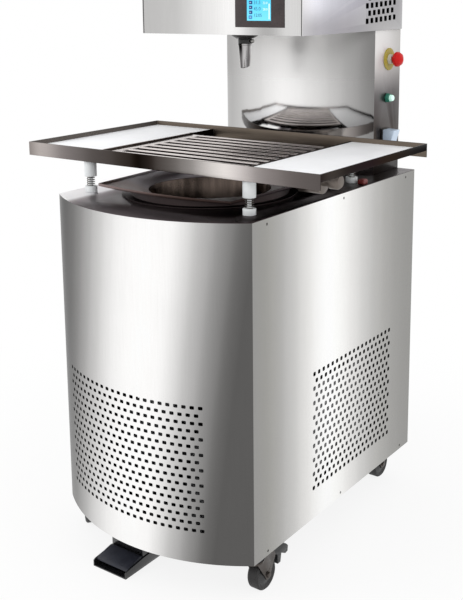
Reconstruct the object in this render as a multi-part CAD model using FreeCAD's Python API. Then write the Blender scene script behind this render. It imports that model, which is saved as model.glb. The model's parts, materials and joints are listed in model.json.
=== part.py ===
import FreeCAD, Part
import math
import os

V = FreeCAD.Vector

# Chocolate tempering machine: floor cabinet on castors, vibrating table over the tank,
# and a column with an overhanging head that pours through a spout.
# Millimetres. +Z up, front towards -Y, +X to the machine's right as seen from the front.
# Origin: on the floor, at the centre of the whole machine's footprint box.

# ---- driving dimensions ------------------------------------------------------------------
CASTOR_HEIGHT = 105.0
CABINET_WIDTH = 592.0
CABINET_SIDE_DEPTH = 795.0
CABINET_HEIGHT = 820.0
CABINET_FRONT_RADIUS = 488.0
SKIN = 1.5

COLUMN_WIDTH = 488.0
COLUMN_SIDE_DEPTH = 147.0
COLUMN_FRONT_RADIUS = 401.0

HEAD_WIDTH = 495.0
HEAD_DEPTH = 515.0
HEAD_HEIGHT = 190.0
HEAD_UNDERSIDE_Z = 1314.0
HEAD_SKIN = 2.0

TABLE_WIDTH = 886.0
TABLE_FRONT_Y = -307.0
TABLE_BACK_Y = 210.0
TABLE_TOP_Z = 1040.0
TABLE_SKIRT = 35.0
TABLE_SIDE_RIM = 18.0
TABLE_SHEET = 2.5
TABLE_FOLD = 1.5
BOARD_TOP_Z = 1028.0
BOARD_THICKNESS = 4.5
CHANNEL_X = (227.0, 263.0)
CHANNEL_DROP = 21.0
LEDGE = 15.0

GRID_HALF = 226.0
GRID_LEFT_BAR = 38.0
GRID_RIGHT_BAR = 12.0
GRID_BAR_WALL = 2.0
GRID_LIP = 6.0
GRID_RODS = 10
GRID_ROD_PITCH = 41.5
GRID_LAST_ROD_Y = 91.0
GRID_ROD_RADIUS = 9.0

FOOT_X = 245.0
FOOT_FRONT_Y = -285.0
FOOT_BACK_Y = 180.0
FOOT_RADIUS = 15.5
SPRING_BOTTOM_Z = 940.0
SPRING_TOP_Z = 965.0
SPRING_TURNS = 3.5
GUIDE_PIN_RADIUS = 5.0

VIBRATOR_X = (300.0, 411.0)
VIBRATOR_Y = -165.0
VIBRATOR_TOP_Z = 1018.0

TANK_Y = -110.0
TANK_RADIUS = 200.0
TANK_FLOOR_Z = 770.0
COVER_Z = 948.0
COVER_SHEET = 2.0
COVER_LIP = 5.0
COVER_CONE_RADIUS = 208.0
COVER_MOUTH_RADIUS = 155.0
COVER_DROP = 15.0

AUGER_Y = 330.0
AUGER_TUBE_RADIUS = 35.0
AUGER_FLIGHT_RADIUS = 34.4
AUGER_CORE_RADIUS = 14.0
AUGER_PITCH = 70.0
AUGER_TURNS = 8.5
TUBE_WALL = 7.0
TUBE_FOOT_Z = 740.0
TUBE_FLOOR_Z = 752.0
TUBE_NECK_Z = 1392.0
TUBE_TOP_Z = 1400.0
JACKET_Z = (860.0, 1300.0)

SPOUT_Y = 48.0
OUTLET_Z = 1352.0
INLET_Z = 825.0
FEED_BORE = 20.0
OUTLET_BORE = 18.0
SPOUT_FLANGE_DEPTH = 14.0
SPOUT_COLLAR_DEPTH = 13.0
SPOUT_LENGTH = 76.0

CONDENSER_X = (222.0, 262.0)
CONDENSER_Y = (-70.0, 240.0)
CONDENSER_Z = (140.0, 440.0)
FAN_CENTRE = (126.0, 85.0, 285.0)
SHROUD_X = (212.0, 218.0)
SHROUD_Y = (-30.0, 200.0)
COMPRESSOR_PLACE = (-120.0, 190.0)

DISPLAY_X = (54.5, 197.0)
DISPLAY_Z = (1333.0, 1424.0)
SCREEN_X = (89.5, 160.0)
SCREEN_Z = (1349.0, 1401.0)

VENT_CENTRE_Y = 324.0
VENT_FIRST_Z = 1340.0
VENT_PITCH = 25.4
VENT_ROW_PITCH = 19.7
VENT_ROWS = 5
VENT_RADIUS = 6.8
VENT_SLOPE = 0.049

ESTOP_Y = 380.0
ESTOP_Z = 1235.0
START_Y = 373.0
START_Z = 1130.0
CONTROL_HOLE_RADIUS = 11.0
PLUG_Y = (343.0, 385.0)
PLUG_Z = (1009.0, 1047.0)

WHEEL_RADIUS = 40.0
WHEEL_WIDTH = 32.0
CASTOR_TRAIL = 37.0
FRONT_CASTOR = (264.0, -309.0)
REAR_CASTOR = (222.0, 360.0)
FRONT_LEFT_SWIVEL = 50.0
BRAKE_PIN_RADIUS = 2.5
BRAKE_PIVOT_Z = 85.2

PEDAL_X = (-134.0, -25.0)
PEDAL_FRONT_Y = -441.0
PEDAL_BACK_Y = -262.0
PEDAL_HOUSING_Y = -373.0

RUNNING = 0.05

# ---- places worked out from them ---------------------------------------------------------
COVER_SLOPE = COVER_DROP / (COVER_CONE_RADIUS - COVER_MOUTH_RADIUS)
TANK_RIM_Z = COVER_Z - COVER_SHEET - COVER_SLOPE * (COVER_CONE_RADIUS - TANK_RADIUS) - RUNNING
SAGITTA = CABINET_FRONT_RADIUS - math.sqrt(CABINET_FRONT_RADIUS ** 2 - (CABINET_WIDTH / 2) ** 2)
BACK_Y = (CABINET_SIDE_DEPTH + SAGITTA) / 2
CABINET_CORNER_Y = BACK_Y - CABINET_SIDE_DEPTH
DECK_Z = CASTOR_HEIGHT + CABINET_HEIGHT
PAN_TOP_Z = CASTOR_HEIGHT + 3.0
HEAD_TOP_Z = HEAD_UNDERSIDE_Z + HEAD_HEIGHT
HEAD_FRONT_Y = BACK_Y - HEAD_DEPTH
BOARD_BOTTOM_Z = BOARD_TOP_Z - BOARD_THICKNESS
TABLE_BOTTOM_Z = TABLE_TOP_Z - TABLE_SKIRT
CHANNEL_BOTTOM_Z = BOARD_TOP_Z - CHANNEL_DROP
COLUMN_SIDE_X = COLUMN_WIDTH / 2
BRAKE_PIVOT_Y = CASTOR_TRAIL + WHEEL_RADIUS - 14.0
FEET = [(side * FOOT_X, y) for side in (-1, 1) for y in (FOOT_FRONT_Y, FOOT_BACK_Y)]
CASTORS = {
    "front_right": (FRONT_CASTOR[0], FRONT_CASTOR[1], 0.0),
    "front_left": (-FRONT_CASTOR[0], FRONT_CASTOR[1], FRONT_LEFT_SWIVEL),
    "rear_right": (REAR_CASTOR[0], REAR_CASTOR[1], 0.0),
    "rear_left": (-REAR_CASTOR[0], REAR_CASTOR[1], 0.0),
}


# ---- helpers -----------------------------------------------------------------------------
def block(x0, x1, y0, y1, z0, z1):
    return Part.makeBox(x1 - x0, y1 - y0, z1 - z0, V(x0, y0, z0))


def rod(radius, start, end):
    along = V(*end) - V(*start)
    return Part.makeCylinder(radius, along.Length, V(*start), along)


def pipe(outer, inner, start, end):
    return rod(outer, start, end).cut(rod(inner, start, end))


def prism(points, direction):
    ring = [V(*p) for p in points]
    return Part.Face(Part.makePolygon(ring + ring[:1])).extrude(V(*direction))


def spun(profile, centre, axis):
    """Solid of revolution: profile is (radius, height along axis) pairs."""
    ring = [V(r, 0, h) for r, h in profile]
    face = Part.Face(Part.makePolygon(ring + ring[:1]))
    solid = face.revolve(V(0, 0, 0), V(0, 0, 1), 360)
    turn = FreeCAD.Rotation(V(0, 0, 1), V(*axis))
    solid.Placement = FreeCAD.Placement(V(*centre), turn)
    return solid


def fused(shapes):
    return shapes[0].multiFuse(shapes[1:]).removeSplitter()


def export(name, shapes):
    solids = []
    for shape in shapes:
        solids += shape.Solids
    for solid in solids:
        if not solid.isValid():
            print("invalid solid in", name)
    Part.makeCompound(solids).exportStep("parts/" + name + ".step")


def bowed_plan(half_width, radius, back_y, corner_y):
    """Plan of a box whose front bows out in one arc between its front corners."""
    bow = radius - math.sqrt(radius ** 2 - half_width ** 2)
    back_right = V(half_width, back_y, 0)
    back_left = V(-half_width, back_y, 0)
    front_right = V(half_width, corner_y, 0)
    front_left = V(-half_width, corner_y, 0)
    arc = Part.Arc(front_left, V(0, corner_y - bow, 0), front_right).toShape()
    edges = [
        arc,
        Part.makeLine(front_right, back_right),
        Part.makeLine(back_right, back_left),
        Part.makeLine(back_left, front_left),
    ]
    return Part.Face(Part.Wire(edges))


def inset_plan(width, radius, side_depth, inset):
    """The same plan moved inwards by a sheet thickness on every side."""
    half = width / 2
    centre_y = BACK_Y - side_depth + math.sqrt(radius ** 2 - half ** 2)
    inner_corner = centre_y - math.sqrt((radius - inset) ** 2 - (half - inset) ** 2)
    return bowed_plan(half - inset, radius - inset, BACK_Y - inset, inner_corner)


def raised(plan, z0, z1):
    solid = plan.extrude(V(0, 0, z1 - z0))
    solid.translate(V(0, 0, z0))
    return solid


def cabinet_block(inset, z0, z1):
    return raised(inset_plan(CABINET_WIDTH, CABINET_FRONT_RADIUS, CABINET_SIDE_DEPTH, inset), z0, z1)


def column_block(inset, z0, z1):
    return raised(inset_plan(COLUMN_WIDTH, COLUMN_FRONT_RADIUS, COLUMN_SIDE_DEPTH, inset), z0, z1)


# ---- cabinet -----------------------------------------------------------------------------
def base_frame():
    """Floor pan with four corner angles and two top rails, each a member of the welded frame."""
    post_top = DECK_Z - SKIN
    inner_x = CABINET_WIDTH / 2 - SKIN
    leg = 30.0
    wall = 2.5
    rail = 20.0
    members = [cabinet_block(SKIN, CASTOR_HEIGHT, PAN_TOP_Z)]
    for side in (-1, 1):
        for corner_y, inward in ((CABINET_CORNER_Y, 1), (BACK_Y - SKIN, -1)):
            outline = [(0, 0), (-leg, 0), (-leg, wall), (-wall, wall), (-wall, leg), (0, leg)]
            ring = [(side * (inner_x + x), corner_y + inward * y, PAN_TOP_Z) for x, y in outline]
            members.append(prism(ring, (0, 0, post_top - PAN_TOP_Z)))
        xs = sorted((side * (inner_x - wall), side * (inner_x - wall - rail)))
        members.append(block(xs[0], xs[1], CABINET_CORNER_Y + wall, BACK_Y - SKIN - wall,
                             post_top - rail, post_top))
    return members


def cabinet_skin():
    return cabinet_block(0, CASTOR_HEIGHT, DECK_Z - SKIN).cut(
        cabinet_block(SKIN, CASTOR_HEIGHT, DECK_Z - SKIN))


def front_panel():
    return cabinet_skin().common(block(-300, 300, -500, CABINET_CORNER_Y, 0, DECK_Z))


def side_panel(side):
    xs = sorted((side * 300.0, side * (CABINET_WIDTH / 2 - SKIN)))
    return cabinet_skin().common(block(xs[0], xs[1], CABINET_CORNER_Y, BACK_Y, 0, DECK_Z))


def rear_panel():
    """Lift-off service panel with two banks of air slots."""
    inner = CABINET_WIDTH / 2 - SKIN
    panel = block(-inner, inner, BACK_Y - SKIN, BACK_Y, CASTOR_HEIGHT, DECK_Z - SKIN)
    slots = []
    for side in (-1, 1):
        for row in range(6):
            z = 200.0 + 32.0 * row
            slots.append(block(side * 130.0 - 70.0, side * 130.0 + 70.0, BACK_Y - 3, BACK_Y + 1, z, z + 8.0))
    return panel.cut(Part.makeCompound(slots))


def deck_plate():
    deck = cabinet_block(0, DECK_Z - SKIN, DECK_Z)
    deck = deck.cut(rod(TANK_RADIUS + 4.0, (0, TANK_Y, DECK_Z - 5), (0, TANK_Y, DECK_Z + 5)))
    return deck.cut(rod(64.0, (0, AUGER_Y, DECK_Z - 5), (0, AUGER_Y, DECK_Z + 5)))


# ---- tank --------------------------------------------------------------------------------
def tank_bowl():
    """Drawn bowl with a dished floor, a shoulder that sits on the deck and a plain rim."""
    wall = 2.0
    outer = TANK_RADIUS + wall
    dish = 26.0
    profile = [
        (24.0, TANK_FLOOR_Z - wall), (TANK_RADIUS - 18.0, TANK_FLOOR_Z - wall + 10.0),
        (outer, TANK_FLOOR_Z + dish), (outer, DECK_Z), (outer + 20.0, DECK_Z), (outer + 20.0, DECK_Z + wall),
        (outer, DECK_Z + wall), (outer, TANK_RIM_Z), (TANK_RADIUS, TANK_RIM_Z),
        (TANK_RADIUS, TANK_FLOOR_Z + dish), (TANK_RADIUS - 19.0, TANK_FLOOR_Z + 10.0), (24.0, TANK_FLOOR_Z),
    ]
    bowl = spun(profile, (0, TANK_Y, 0), (0, 0, 1))
    return bowl.cut(rod(FEED_BORE, (0, TANK_Y, INLET_Z), (0, AUGER_Y, INLET_Z)))


def tank_heater():
    """Silicone heating band round the bowl, broken at the back for the feed pipe."""
    z0 = TANK_FLOOR_Z + 32.0
    z1 = DECK_Z - 12.0
    band = pipe(TANK_RADIUS + 4.0, TANK_RADIUS + 2.1, (0, TANK_Y, z0), (0, TANK_Y, z1))
    return band.cut(block(-32, 32, TANK_Y, TANK_Y + 260, z0, z1))


def tank_cover():
    """Loose funnel tray over the tank: raised edge, flat flange and a cone down to a round mouth."""
    front_half = 205.0
    back_half = 228.0
    corner_y = -300.0
    back_y = 150.0
    bow = 23.0
    corners = [V(front_half, corner_y, 0), V(back_half, back_y, 0), V(-back_half, back_y, 0),
               V(-front_half, corner_y, 0)]
    arc = Part.Arc(corners[3], V(0, corner_y - bow, 0), corners[0]).toShape()
    lines = [Part.makeLine(corners[i], corners[i + 1]) for i in range(3)]
    plan = Part.Face(Part.Wire([arc] + lines))
    inner_plan = plan.makeOffset2D(-COVER_SHEET)
    under = COVER_Z - COVER_SHEET
    edge = raised(plan, under, COVER_Z + COVER_LIP).cut(raised(inner_plan, under, COVER_Z + COVER_LIP))
    flange = raised(plan, under, COVER_Z).cut(
        rod(COVER_CONE_RADIUS, (0, TANK_Y, under), (0, TANK_Y, COVER_Z)))
    profile = [(COVER_MOUTH_RADIUS, under - COVER_DROP), (COVER_CONE_RADIUS, under),
               (COVER_CONE_RADIUS + 1, under), (COVER_CONE_RADIUS + 1, COVER_Z),
               (COVER_CONE_RADIUS, COVER_Z), (COVER_MOUTH_RADIUS, COVER_Z - COVER_DROP)]
    return fused([edge, flange, spun(profile, (0, TANK_Y, 0), (0, 0, 1))])


def tank_bush():
    """Flanged seal bush where the stirrer shaft comes up through the tank floor."""
    z = TANK_FLOOR_Z
    bore = 10.0 + RUNNING
    profile = [(bore, z - 22), (24.0, z - 22), (24.0, z + 3), (18.0, z + 8), (bore, z + 8)]
    return spun(profile, (0, TANK_Y, 0), (0, 0, 1))


def stirrer():
    """Anchor stirrer: two swept arms that follow the bowl's floor and wall."""
    z = TANK_FLOOR_Z
    hub = fused([rod(10.0, (0, TANK_Y, z - 60), (0, TANK_Y, z + 9)),
                 rod(22.0, (0, TANK_Y, z + 9), (0, TANK_Y, z + 40))])
    reach = TANK_RADIUS - 10.0
    outline = [(15.0, 14), (reach - 16, 22), (reach, 36), (reach, 140), (reach - 14, 140), (reach - 14, 46),
               (reach - 26, 36), (15.0, 30)]
    arms = []
    for side in (-1, 1):
        arm = prism([(side * out, 0, z + up) for out, up in outline], (0, 5, 0))
        arm.translate(V(0, TANK_Y - 2.5, 0))
        arms.append(arm)
    return fused([hub] + arms)


def stirrer_gearmotor():
    top = TANK_FLOOR_Z - 22.0
    gearbox = block(-45, 45, TANK_Y - 45, TANK_Y + 45, top - 60, top)
    motor = rod(38.0, (0, TANK_Y, top - 180), (0, TANK_Y, top - 60))
    return fused([gearbox, motor]).cut(rod(10.0 + RUNNING, (0, TANK_Y, top - 45), (0, TANK_Y, top)))


# ---- tempering tube and auger ------------------------------------------------------------
def tempering_tube():
    """Upright tube with its welded cooling jacket, deck collar and top flange."""
    def upright(radius, z0, z1):
        return rod(radius, (0, AUGER_Y, z0), (0, AUGER_Y, z1))
    outer = AUGER_TUBE_RADIUS + TUBE_WALL
    tube = fused([upright(outer, TUBE_FOOT_Z, TUBE_NECK_Z), upright(60.0, *JACKET_Z),
                  upright(78.0, DECK_Z, DECK_Z + 6), upright(62.0, TUBE_NECK_Z, TUBE_TOP_Z)])
    tube = tube.cut(upright(AUGER_TUBE_RADIUS, TUBE_FLOOR_Z, TUBE_TOP_Z))
    tube = tube.cut(upright(AUGER_CORE_RADIUS, TUBE_FOOT_Z, TUBE_FLOOR_Z))
    for bore, z in ((FEED_BORE, INLET_Z), (OUTLET_BORE, OUTLET_Z)):
        tube = tube.cut(rod(bore, (0, AUGER_Y - outer - 5, z), (0, AUGER_Y, z)))
    return tube


def auger_bearing():
    return pipe(AUGER_CORE_RADIUS, 8.0 + RUNNING, (0, AUGER_Y, TUBE_FOOT_Z), (0, AUGER_Y, TUBE_FLOOR_Z + 12))


def auger_screw():
    """Feed screw: one continuous helical flight wound round a solid core."""
    start_z = TUBE_FLOOR_Z + 16.0
    end_z = TUBE_NECK_Z - 4.0
    core = fused([
        rod(8.0, (0, AUGER_Y, TUBE_FOOT_Z + 2), (0, AUGER_Y, start_z)),
        rod(AUGER_CORE_RADIUS, (0, AUGER_Y, start_z), (0, AUGER_Y, end_z)),
        rod(10.0, (0, AUGER_Y, end_z), (0, AUGER_Y, TUBE_TOP_Z + 40)),
    ])
    helix = Part.makeHelix(AUGER_PITCH, AUGER_PITCH * AUGER_TURNS, AUGER_CORE_RADIUS)
    inner = AUGER_CORE_RADIUS - 1.0
    half = 2.0
    section = Part.makePolygon([V(inner, 0, -half), V(AUGER_FLIGHT_RADIUS, 0, -half),
                                V(AUGER_FLIGHT_RADIUS, 0, half), V(inner, 0, half), V(inner, 0, -half)])
    flight = Part.Wire(helix.Edges).makePipeShell([section], True, True)
    flight.translate(V(0, AUGER_Y, start_z + 6.0))
    return fused([core, flight])


def auger_gearmotor():
    """Worm gearbox on the tube's flange with its motor lying across the head."""
    base_z = TUBE_TOP_Z
    housing = block(-55, 55, AUGER_Y - 55, AUGER_Y + 55, base_z + 8, base_z + 82)
    foot = rod(62.0, (0, AUGER_Y, base_z), (0, AUGER_Y, base_z + 8))
    motor_z = base_z + 45
    nose = rod(40.0, (-75, AUGER_Y, motor_z), (-55, AUGER_Y, motor_z))
    flange = rod(50.0, (-83, AUGER_Y, motor_z), (-75, AUGER_Y, motor_z))
    can = rod(46.0, (-220, AUGER_Y, motor_z), (-83, AUGER_Y, motor_z))
    return fused([housing, foot, nose, flange, can]).cut(
        rod(10.0 + RUNNING, (0, AUGER_Y, base_z), (0, AUGER_Y, motor_z)))


def feed_pipe():
    tube = pipe(FEED_BORE + 4.0, FEED_BORE, (0, TANK_Y, INLET_Z), (0, AUGER_Y, INLET_Z))
    low, high = INLET_Z - 50, INLET_Z + 50
    tube = tube.cut(rod(TANK_RADIUS + 2.0, (0, TANK_Y, low), (0, TANK_Y, high)))
    return tube.cut(rod(AUGER_TUBE_RADIUS + TUBE_WALL, (0, AUGER_Y, low), (0, AUGER_Y, high)))


def outlet_channel():
    """Heated channel from the top of the tube forwards and down to the spout."""
    drop_z = HEAD_UNDERSIDE_Z + SKIN

    def elbow(radius):
        return fused([rod(radius, (0, SPOUT_Y - radius, OUTLET_Z), (0, AUGER_Y, OUTLET_Z)),
                      rod(radius, (0, SPOUT_Y, drop_z), (0, SPOUT_Y, OUTLET_Z))])
    channel = elbow(OUTLET_BORE + 5.0).cut(elbow(OUTLET_BORE))
    outer = AUGER_TUBE_RADIUS + TUBE_WALL
    return channel.cut(rod(outer, (0, AUGER_Y, OUTLET_Z - 50), (0, AUGER_Y, TUBE_NECK_Z)))


# ---- refrigeration -----------------------------------------------------------------------
def compressor():
    profile = [(0, 0), (95, 0), (95, 6), (84, 10), (84, 142), (70, 182), (40, 198), (0, 202)]
    return spun(profile, COMPRESSOR_PLACE + (PAN_TOP_Z,), (0, 0, 1))


def condenser():
    """Finned coil standing behind the right-hand air holes."""
    x0, x1 = CONDENSER_X
    y0, y1 = CONDENSER_Y
    z0, z1 = CONDENSER_Z
    core = block(x0, x1, y0, y1, z0, z1)
    grooves = [block(x0 - 2, x0 + 8, y0 + 10 + 20 * i, y0 + 20 + 20 * i, z0 + 10, z1 - 10) for i in range(15)]
    feet = [block(x0 - 4, x1 + 4, y, y + 20, PAN_TOP_Z, z0) for y in (y0, y1 - 20)]
    return fused([core.cut(Part.makeCompound(grooves))] + feet)


def fan_shroud():
    """Plate with the fan's ring, its legs, and a bridge that holds the fan motor."""
    x0, x1 = SHROUD_X
    y0, y1 = SHROUD_Y
    fan_x, fan_y, fan_z = FAN_CENTRE
    motor_x0, motor_x1 = fan_x + 24, fan_x + 56
    plate = block(x0, x1, y0, y1, 160, 400)
    plate = plate.cut(rod(98.0, (x0 - 7, fan_y, fan_z), (x1 + 7, fan_y, fan_z)))
    bridge = block(x0 - 6, x0, y0, y1, fan_z - 10, fan_z + 10)
    legs = [block(x0 - 6, x1, y, y + 14, PAN_TOP_Z, 160) for y in (y0, y1 - 14)]
    motor = rod(24.0, (motor_x0, fan_y, fan_z), (motor_x1, fan_y, fan_z))
    arms = block(motor_x1, x0, fan_y - 7, fan_y + 7, fan_z - 7, fan_z + 7)
    shroud = fused([plate, bridge, motor, arms] + legs)
    return shroud.cut(rod(4.0 + RUNNING, (motor_x0 - 10, fan_y, fan_z), (motor_x1, fan_y, fan_z)))


def fan_rotor():
    fan_x, fan_y, fan_z = FAN_CENTRE
    hub = rod(22.0, (fan_x - 14, fan_y, fan_z), (fan_x + 14, fan_y, fan_z))
    shaft = rod(4.0, (fan_x + 14, fan_y, fan_z), (fan_x + 50, fan_y, fan_z))
    blades = []
    for i in range(5):
        blade = block(-1.2, 1.2, -16, 16, 18, 90)
        blade.rotate(V(0, 0, 0), V(0, 0, 1), 38)
        blade.rotate(V(0, 0, 0), V(1, 0, 0), 72 * i)
        blade.translate(V(*FAN_CENTRE))
        blades.append(blade)
    return fused([hub, shaft] + blades)


def electrics_box():
    return block(-270, -120, -180, -60, PAN_TOP_Z, PAN_TOP_Z + 192)


# ---- column and head ---------------------------------------------------------------------
def column_shell():
    """One sheet folded right round, its front rolled and its seam at the back."""
    z0 = DECK_Z
    z1 = HEAD_UNDERSIDE_Z
    shell = column_block(0, z0, z1).cut(column_block(SKIN, z0, z1))
    for y, z in ((ESTOP_Y, ESTOP_Z), (START_Y, START_Z)):
        shell = shell.cut(rod(CONTROL_HOLE_RADIUS, (COLUMN_SIDE_X - 10, y, z), (COLUMN_SIDE_X + 10, y, z)))
    return shell


def vent_cutters(side):
    """Staggered rows of seven and six holes near the back of the head's side, climbing a little."""
    x = side * (HEAD_WIDTH / 2 - 5.0)
    cutters = []
    for row in range(VENT_ROWS):
        count = 7 - row % 2
        for i in range(count):
            along = VENT_PITCH * (i - (count - 1) / 2)
            y = VENT_CENTRE_Y + along
            z = VENT_FIRST_Z + VENT_ROW_PITCH * row + VENT_SLOPE * (along + 3 * VENT_PITCH)
            corners = [math.pi * (k + 0.5) / 3 for k in range(6)]
            ring = [(x, y + VENT_RADIUS * math.cos(a), z + VENT_RADIUS * math.sin(a)) for a in corners]
            cutters.append(prism(ring, (side * 10.0, 0, 0)))
    return cutters


def head_shell():
    half = HEAD_WIDTH / 2
    t = HEAD_SKIN
    shell = block(-half, half, HEAD_FRONT_Y, BACK_Y, HEAD_UNDERSIDE_Z, HEAD_TOP_Z)
    shell = shell.cut(block(-half + t, half - t, HEAD_FRONT_Y - 1, BACK_Y - t,
                            HEAD_UNDERSIDE_Z - 1, HEAD_TOP_Z - t))
    return shell.cut(Part.makeCompound(vent_cutters(-1) + vent_cutters(1)))


def head_front_panel():
    """Pan-shaped front, held off the shell by a narrow shadow gap."""
    half = HEAD_WIDTH / 2 - HEAD_SKIN - 2.0
    z0 = HEAD_UNDERSIDE_Z
    z1 = HEAD_TOP_Z - HEAD_SKIN - 1.5
    pan = block(-half, half, HEAD_FRONT_Y, HEAD_FRONT_Y + 16, z0, z1)
    pan = pan.cut(block(-half + 1.5, half - 1.5, HEAD_FRONT_Y + 1.5, HEAD_FRONT_Y + 17, z0 + 1.5, z1 - 1.5))
    return pan.cut(block(SCREEN_X[0] - 5, SCREEN_X[1] + 5, HEAD_FRONT_Y - 1, HEAD_FRONT_Y + 3,
                         SCREEN_Z[0] - 5, SCREEN_Z[1] + 5))


def head_bottom():
    half = HEAD_WIDTH / 2 - HEAD_SKIN
    z0 = HEAD_UNDERSIDE_Z
    plate = block(-half, half, HEAD_FRONT_Y + 16, BACK_Y - HEAD_SKIN, z0, z0 + SKIN)
    plate = plate.cut(rod(OUTLET_BORE, (0, SPOUT_Y, z0 - 1), (0, SPOUT_Y, z0 + 5)))
    return plate.cut(rod(AUGER_TUBE_RADIUS + 8.0, (0, AUGER_Y, z0 - 1), (0, AUGER_Y, z0 + 5)))


def display_bezel():
    bezel = block(DISPLAY_X[0], DISPLAY_X[1], HEAD_FRONT_Y - 3, HEAD_FRONT_Y, DISPLAY_Z[0], DISPLAY_Z[1])
    return bezel.cut(block(SCREEN_X[0], SCREEN_X[1], HEAD_FRONT_Y - 4, HEAD_FRONT_Y + 1,
                           SCREEN_Z[0], SCREEN_Z[1]))


def display_screen():
    glass = block(SCREEN_X[0], SCREEN_X[1], HEAD_FRONT_Y - 2, HEAD_FRONT_Y, SCREEN_Z[0], SCREEN_Z[1])
    back = block(SCREEN_X[0] - 5, SCREEN_X[1] + 5, HEAD_FRONT_Y, HEAD_FRONT_Y + 12,
                 SCREEN_Z[0] - 5, SCREEN_Z[1] + 5)
    return fused([glass, back])


# ---- spout -------------------------------------------------------------------------------
def spout_flange():
    z = HEAD_UNDERSIDE_Z
    low = z - SPOUT_FLANGE_DEPTH
    profile = [(11.0, low), (22.0, low), (33.0, z - 8), (37.0, z - 3), (37.0, z), (18.0, z), (11.0, z - 6)]
    return spun(profile, (0, SPOUT_Y, 0), (0, 0, 1))


def spout_collar():
    top = HEAD_UNDERSIDE_Z - SPOUT_FLANGE_DEPTH
    low = top - SPOUT_COLLAR_DEPTH
    profile = [(12.0, low), (17.0, low), (18.0, low + 2), (18.0, top - 2), (17.0, top), (12.0, top)]
    return spun(profile, (0, SPOUT_Y, 0), (0, 0, 1))


def spout_tube():
    """Tapered pouring tube, lipped under the collar, its end cut at a slant."""
    top = HEAD_UNDERSIDE_Z - SPOUT_FLANGE_DEPTH
    lip = top - SPOUT_COLLAR_DEPTH
    low = top - SPOUT_LENGTH
    profile = [(11.2, low), (12.8, low), (18.0, lip - 4), (19.0, lip - 3), (19.0, lip), (12.0, lip),
               (12.0, top), (10.0, top), (10.0, lip - 2), (16.0, lip - 6)]
    tube = spun(profile, (0, SPOUT_Y, 0), (0, 0, 1))
    mitre = block(-30, 30, -30, 30, -40, 0)
    mitre.rotate(V(0, 0, 0), V(1, 0, 0), 22)
    mitre.translate(V(0, SPOUT_Y, low + 5))
    return tube.cut(mitre)


# ---- controls on the column --------------------------------------------------------------
def estop_plate():
    return pipe(30.0, 11.0, (COLUMN_SIDE_X, ESTOP_Y, ESTOP_Z), (COLUMN_SIDE_X + 2.5, ESTOP_Y, ESTOP_Z))


def estop_collar():
    bore = 7.0 + RUNNING
    profile = [(bore, -16), (10.9, -16), (10.9, 2.5), (13.5, 2.5), (12.0, 12.0), (bore, 12.0)]
    return spun(profile, (COLUMN_SIDE_X, ESTOP_Y, ESTOP_Z), (1, 0, 0))


def estop_button():
    """Mushroom head on its stem, with a shallow turned-in grip under the rim."""
    profile = [(0, -10), (7.0, -10), (7.0, 17), (16, 18), (20, 23), (20, 29), (15, 37), (8, 40), (0, 41)]
    return spun(profile, (COLUMN_SIDE_X, ESTOP_Y, ESTOP_Z), (1, 0, 0))


def start_bezel():
    bore = 8.5 + RUNNING
    profile = [(bore, -14), (10.9, -14), (10.9, 0), (12.5, 0), (12.5, 3), (11.0, 11), (bore, 11)]
    return spun(profile, (COLUMN_SIDE_X, START_Y, START_Z), (1, 0, 0))


def start_button():
    profile = [(0, 2), (8.5, 2), (8.5, 16), (7.5, 19), (5, 20.5), (0, 21)]
    return spun(profile, (COLUMN_SIDE_X, START_Y, START_Z), (1, 0, 0))


def table_plug_base():
    return block(COLUMN_SIDE_X, COLUMN_SIDE_X + 4, PLUG_Y[0], PLUG_Y[1], PLUG_Z[0], PLUG_Z[1])


def table_plug():
    """Rectangular plug hood that feeds the table's vibrator."""
    x = COLUMN_SIDE_X + 4
    y = PLUG_Y[0] + 3
    z0, z1 = PLUG_Z
    outline = [(x, y, z0 + 2), (x + 24, y, z0 + 2), (x + 34, y, z1 - 3), (x, y, z1 - 2)]
    hood = prism(outline, (0, PLUG_Y[1] - PLUG_Y[0] - 6, 0))
    return hood.makeFillet(2.5, [e for e in hood.Edges if abs(e.BoundBox.XMin - x) > 1])


# ---- vibrating table ---------------------------------------------------------------------
def table_frame():
    """Welded stainless tray: deep front and back, shallow sides, two carrying channels."""
    half = TABLE_WIDTH / 2
    t = TABLE_SHEET
    s = TABLE_FOLD
    top = TABLE_TOP_Z
    y0 = TABLE_FRONT_Y
    y1 = TABLE_BACK_Y
    ledge_top = BOARD_BOTTOM_Z
    pieces = [
        block(-half, half, y0, y0 + t, TABLE_BOTTOM_Z, top),
        block(-half, half, y1 - t, y1, TABLE_BOTTOM_Z, top),
    ]
    for side in (-1, 1):
        def across(x0, x1, ya, yb, za, zb):
            xs = sorted((side * x0, side * x1))
            pieces.append(block(xs[0], xs[1], ya, yb, za, zb))
        across(half - t, half, y0, y1, top - TABLE_SIDE_RIM, top)
        across(half - t - LEDGE, half - t, y0 + t, y1 - t, ledge_top - s, ledge_top)
        across(CHANNEL_X[0], half - t, y0 + t, y0 + t + LEDGE, ledge_top - s, ledge_top)
        across(CHANNEL_X[0], half - t, y1 - t - LEDGE, y1 - t, ledge_top - s, ledge_top)
        across(CHANNEL_X[0], CHANNEL_X[1], y0 + t, y1 - t, ledge_top - s, ledge_top)
        across(CHANNEL_X[0], CHANNEL_X[0] + s, y0 + t, y1 - t, CHANNEL_BOTTOM_Z, BOARD_TOP_Z + 2.0)
        across(CHANNEL_X[1] - s, CHANNEL_X[1], y0 + t, y1 - t, CHANNEL_BOTTOM_Z, ledge_top)
        across(CHANNEL_X[0] - LEDGE, CHANNEL_X[0], y0 + t, GRID_LAST_ROD_Y + 13.0,
               CHANNEL_BOTTOM_Z, CHANNEL_BOTTOM_Z + s)
    return fused(pieces + [vibrator_bracket()])


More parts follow.
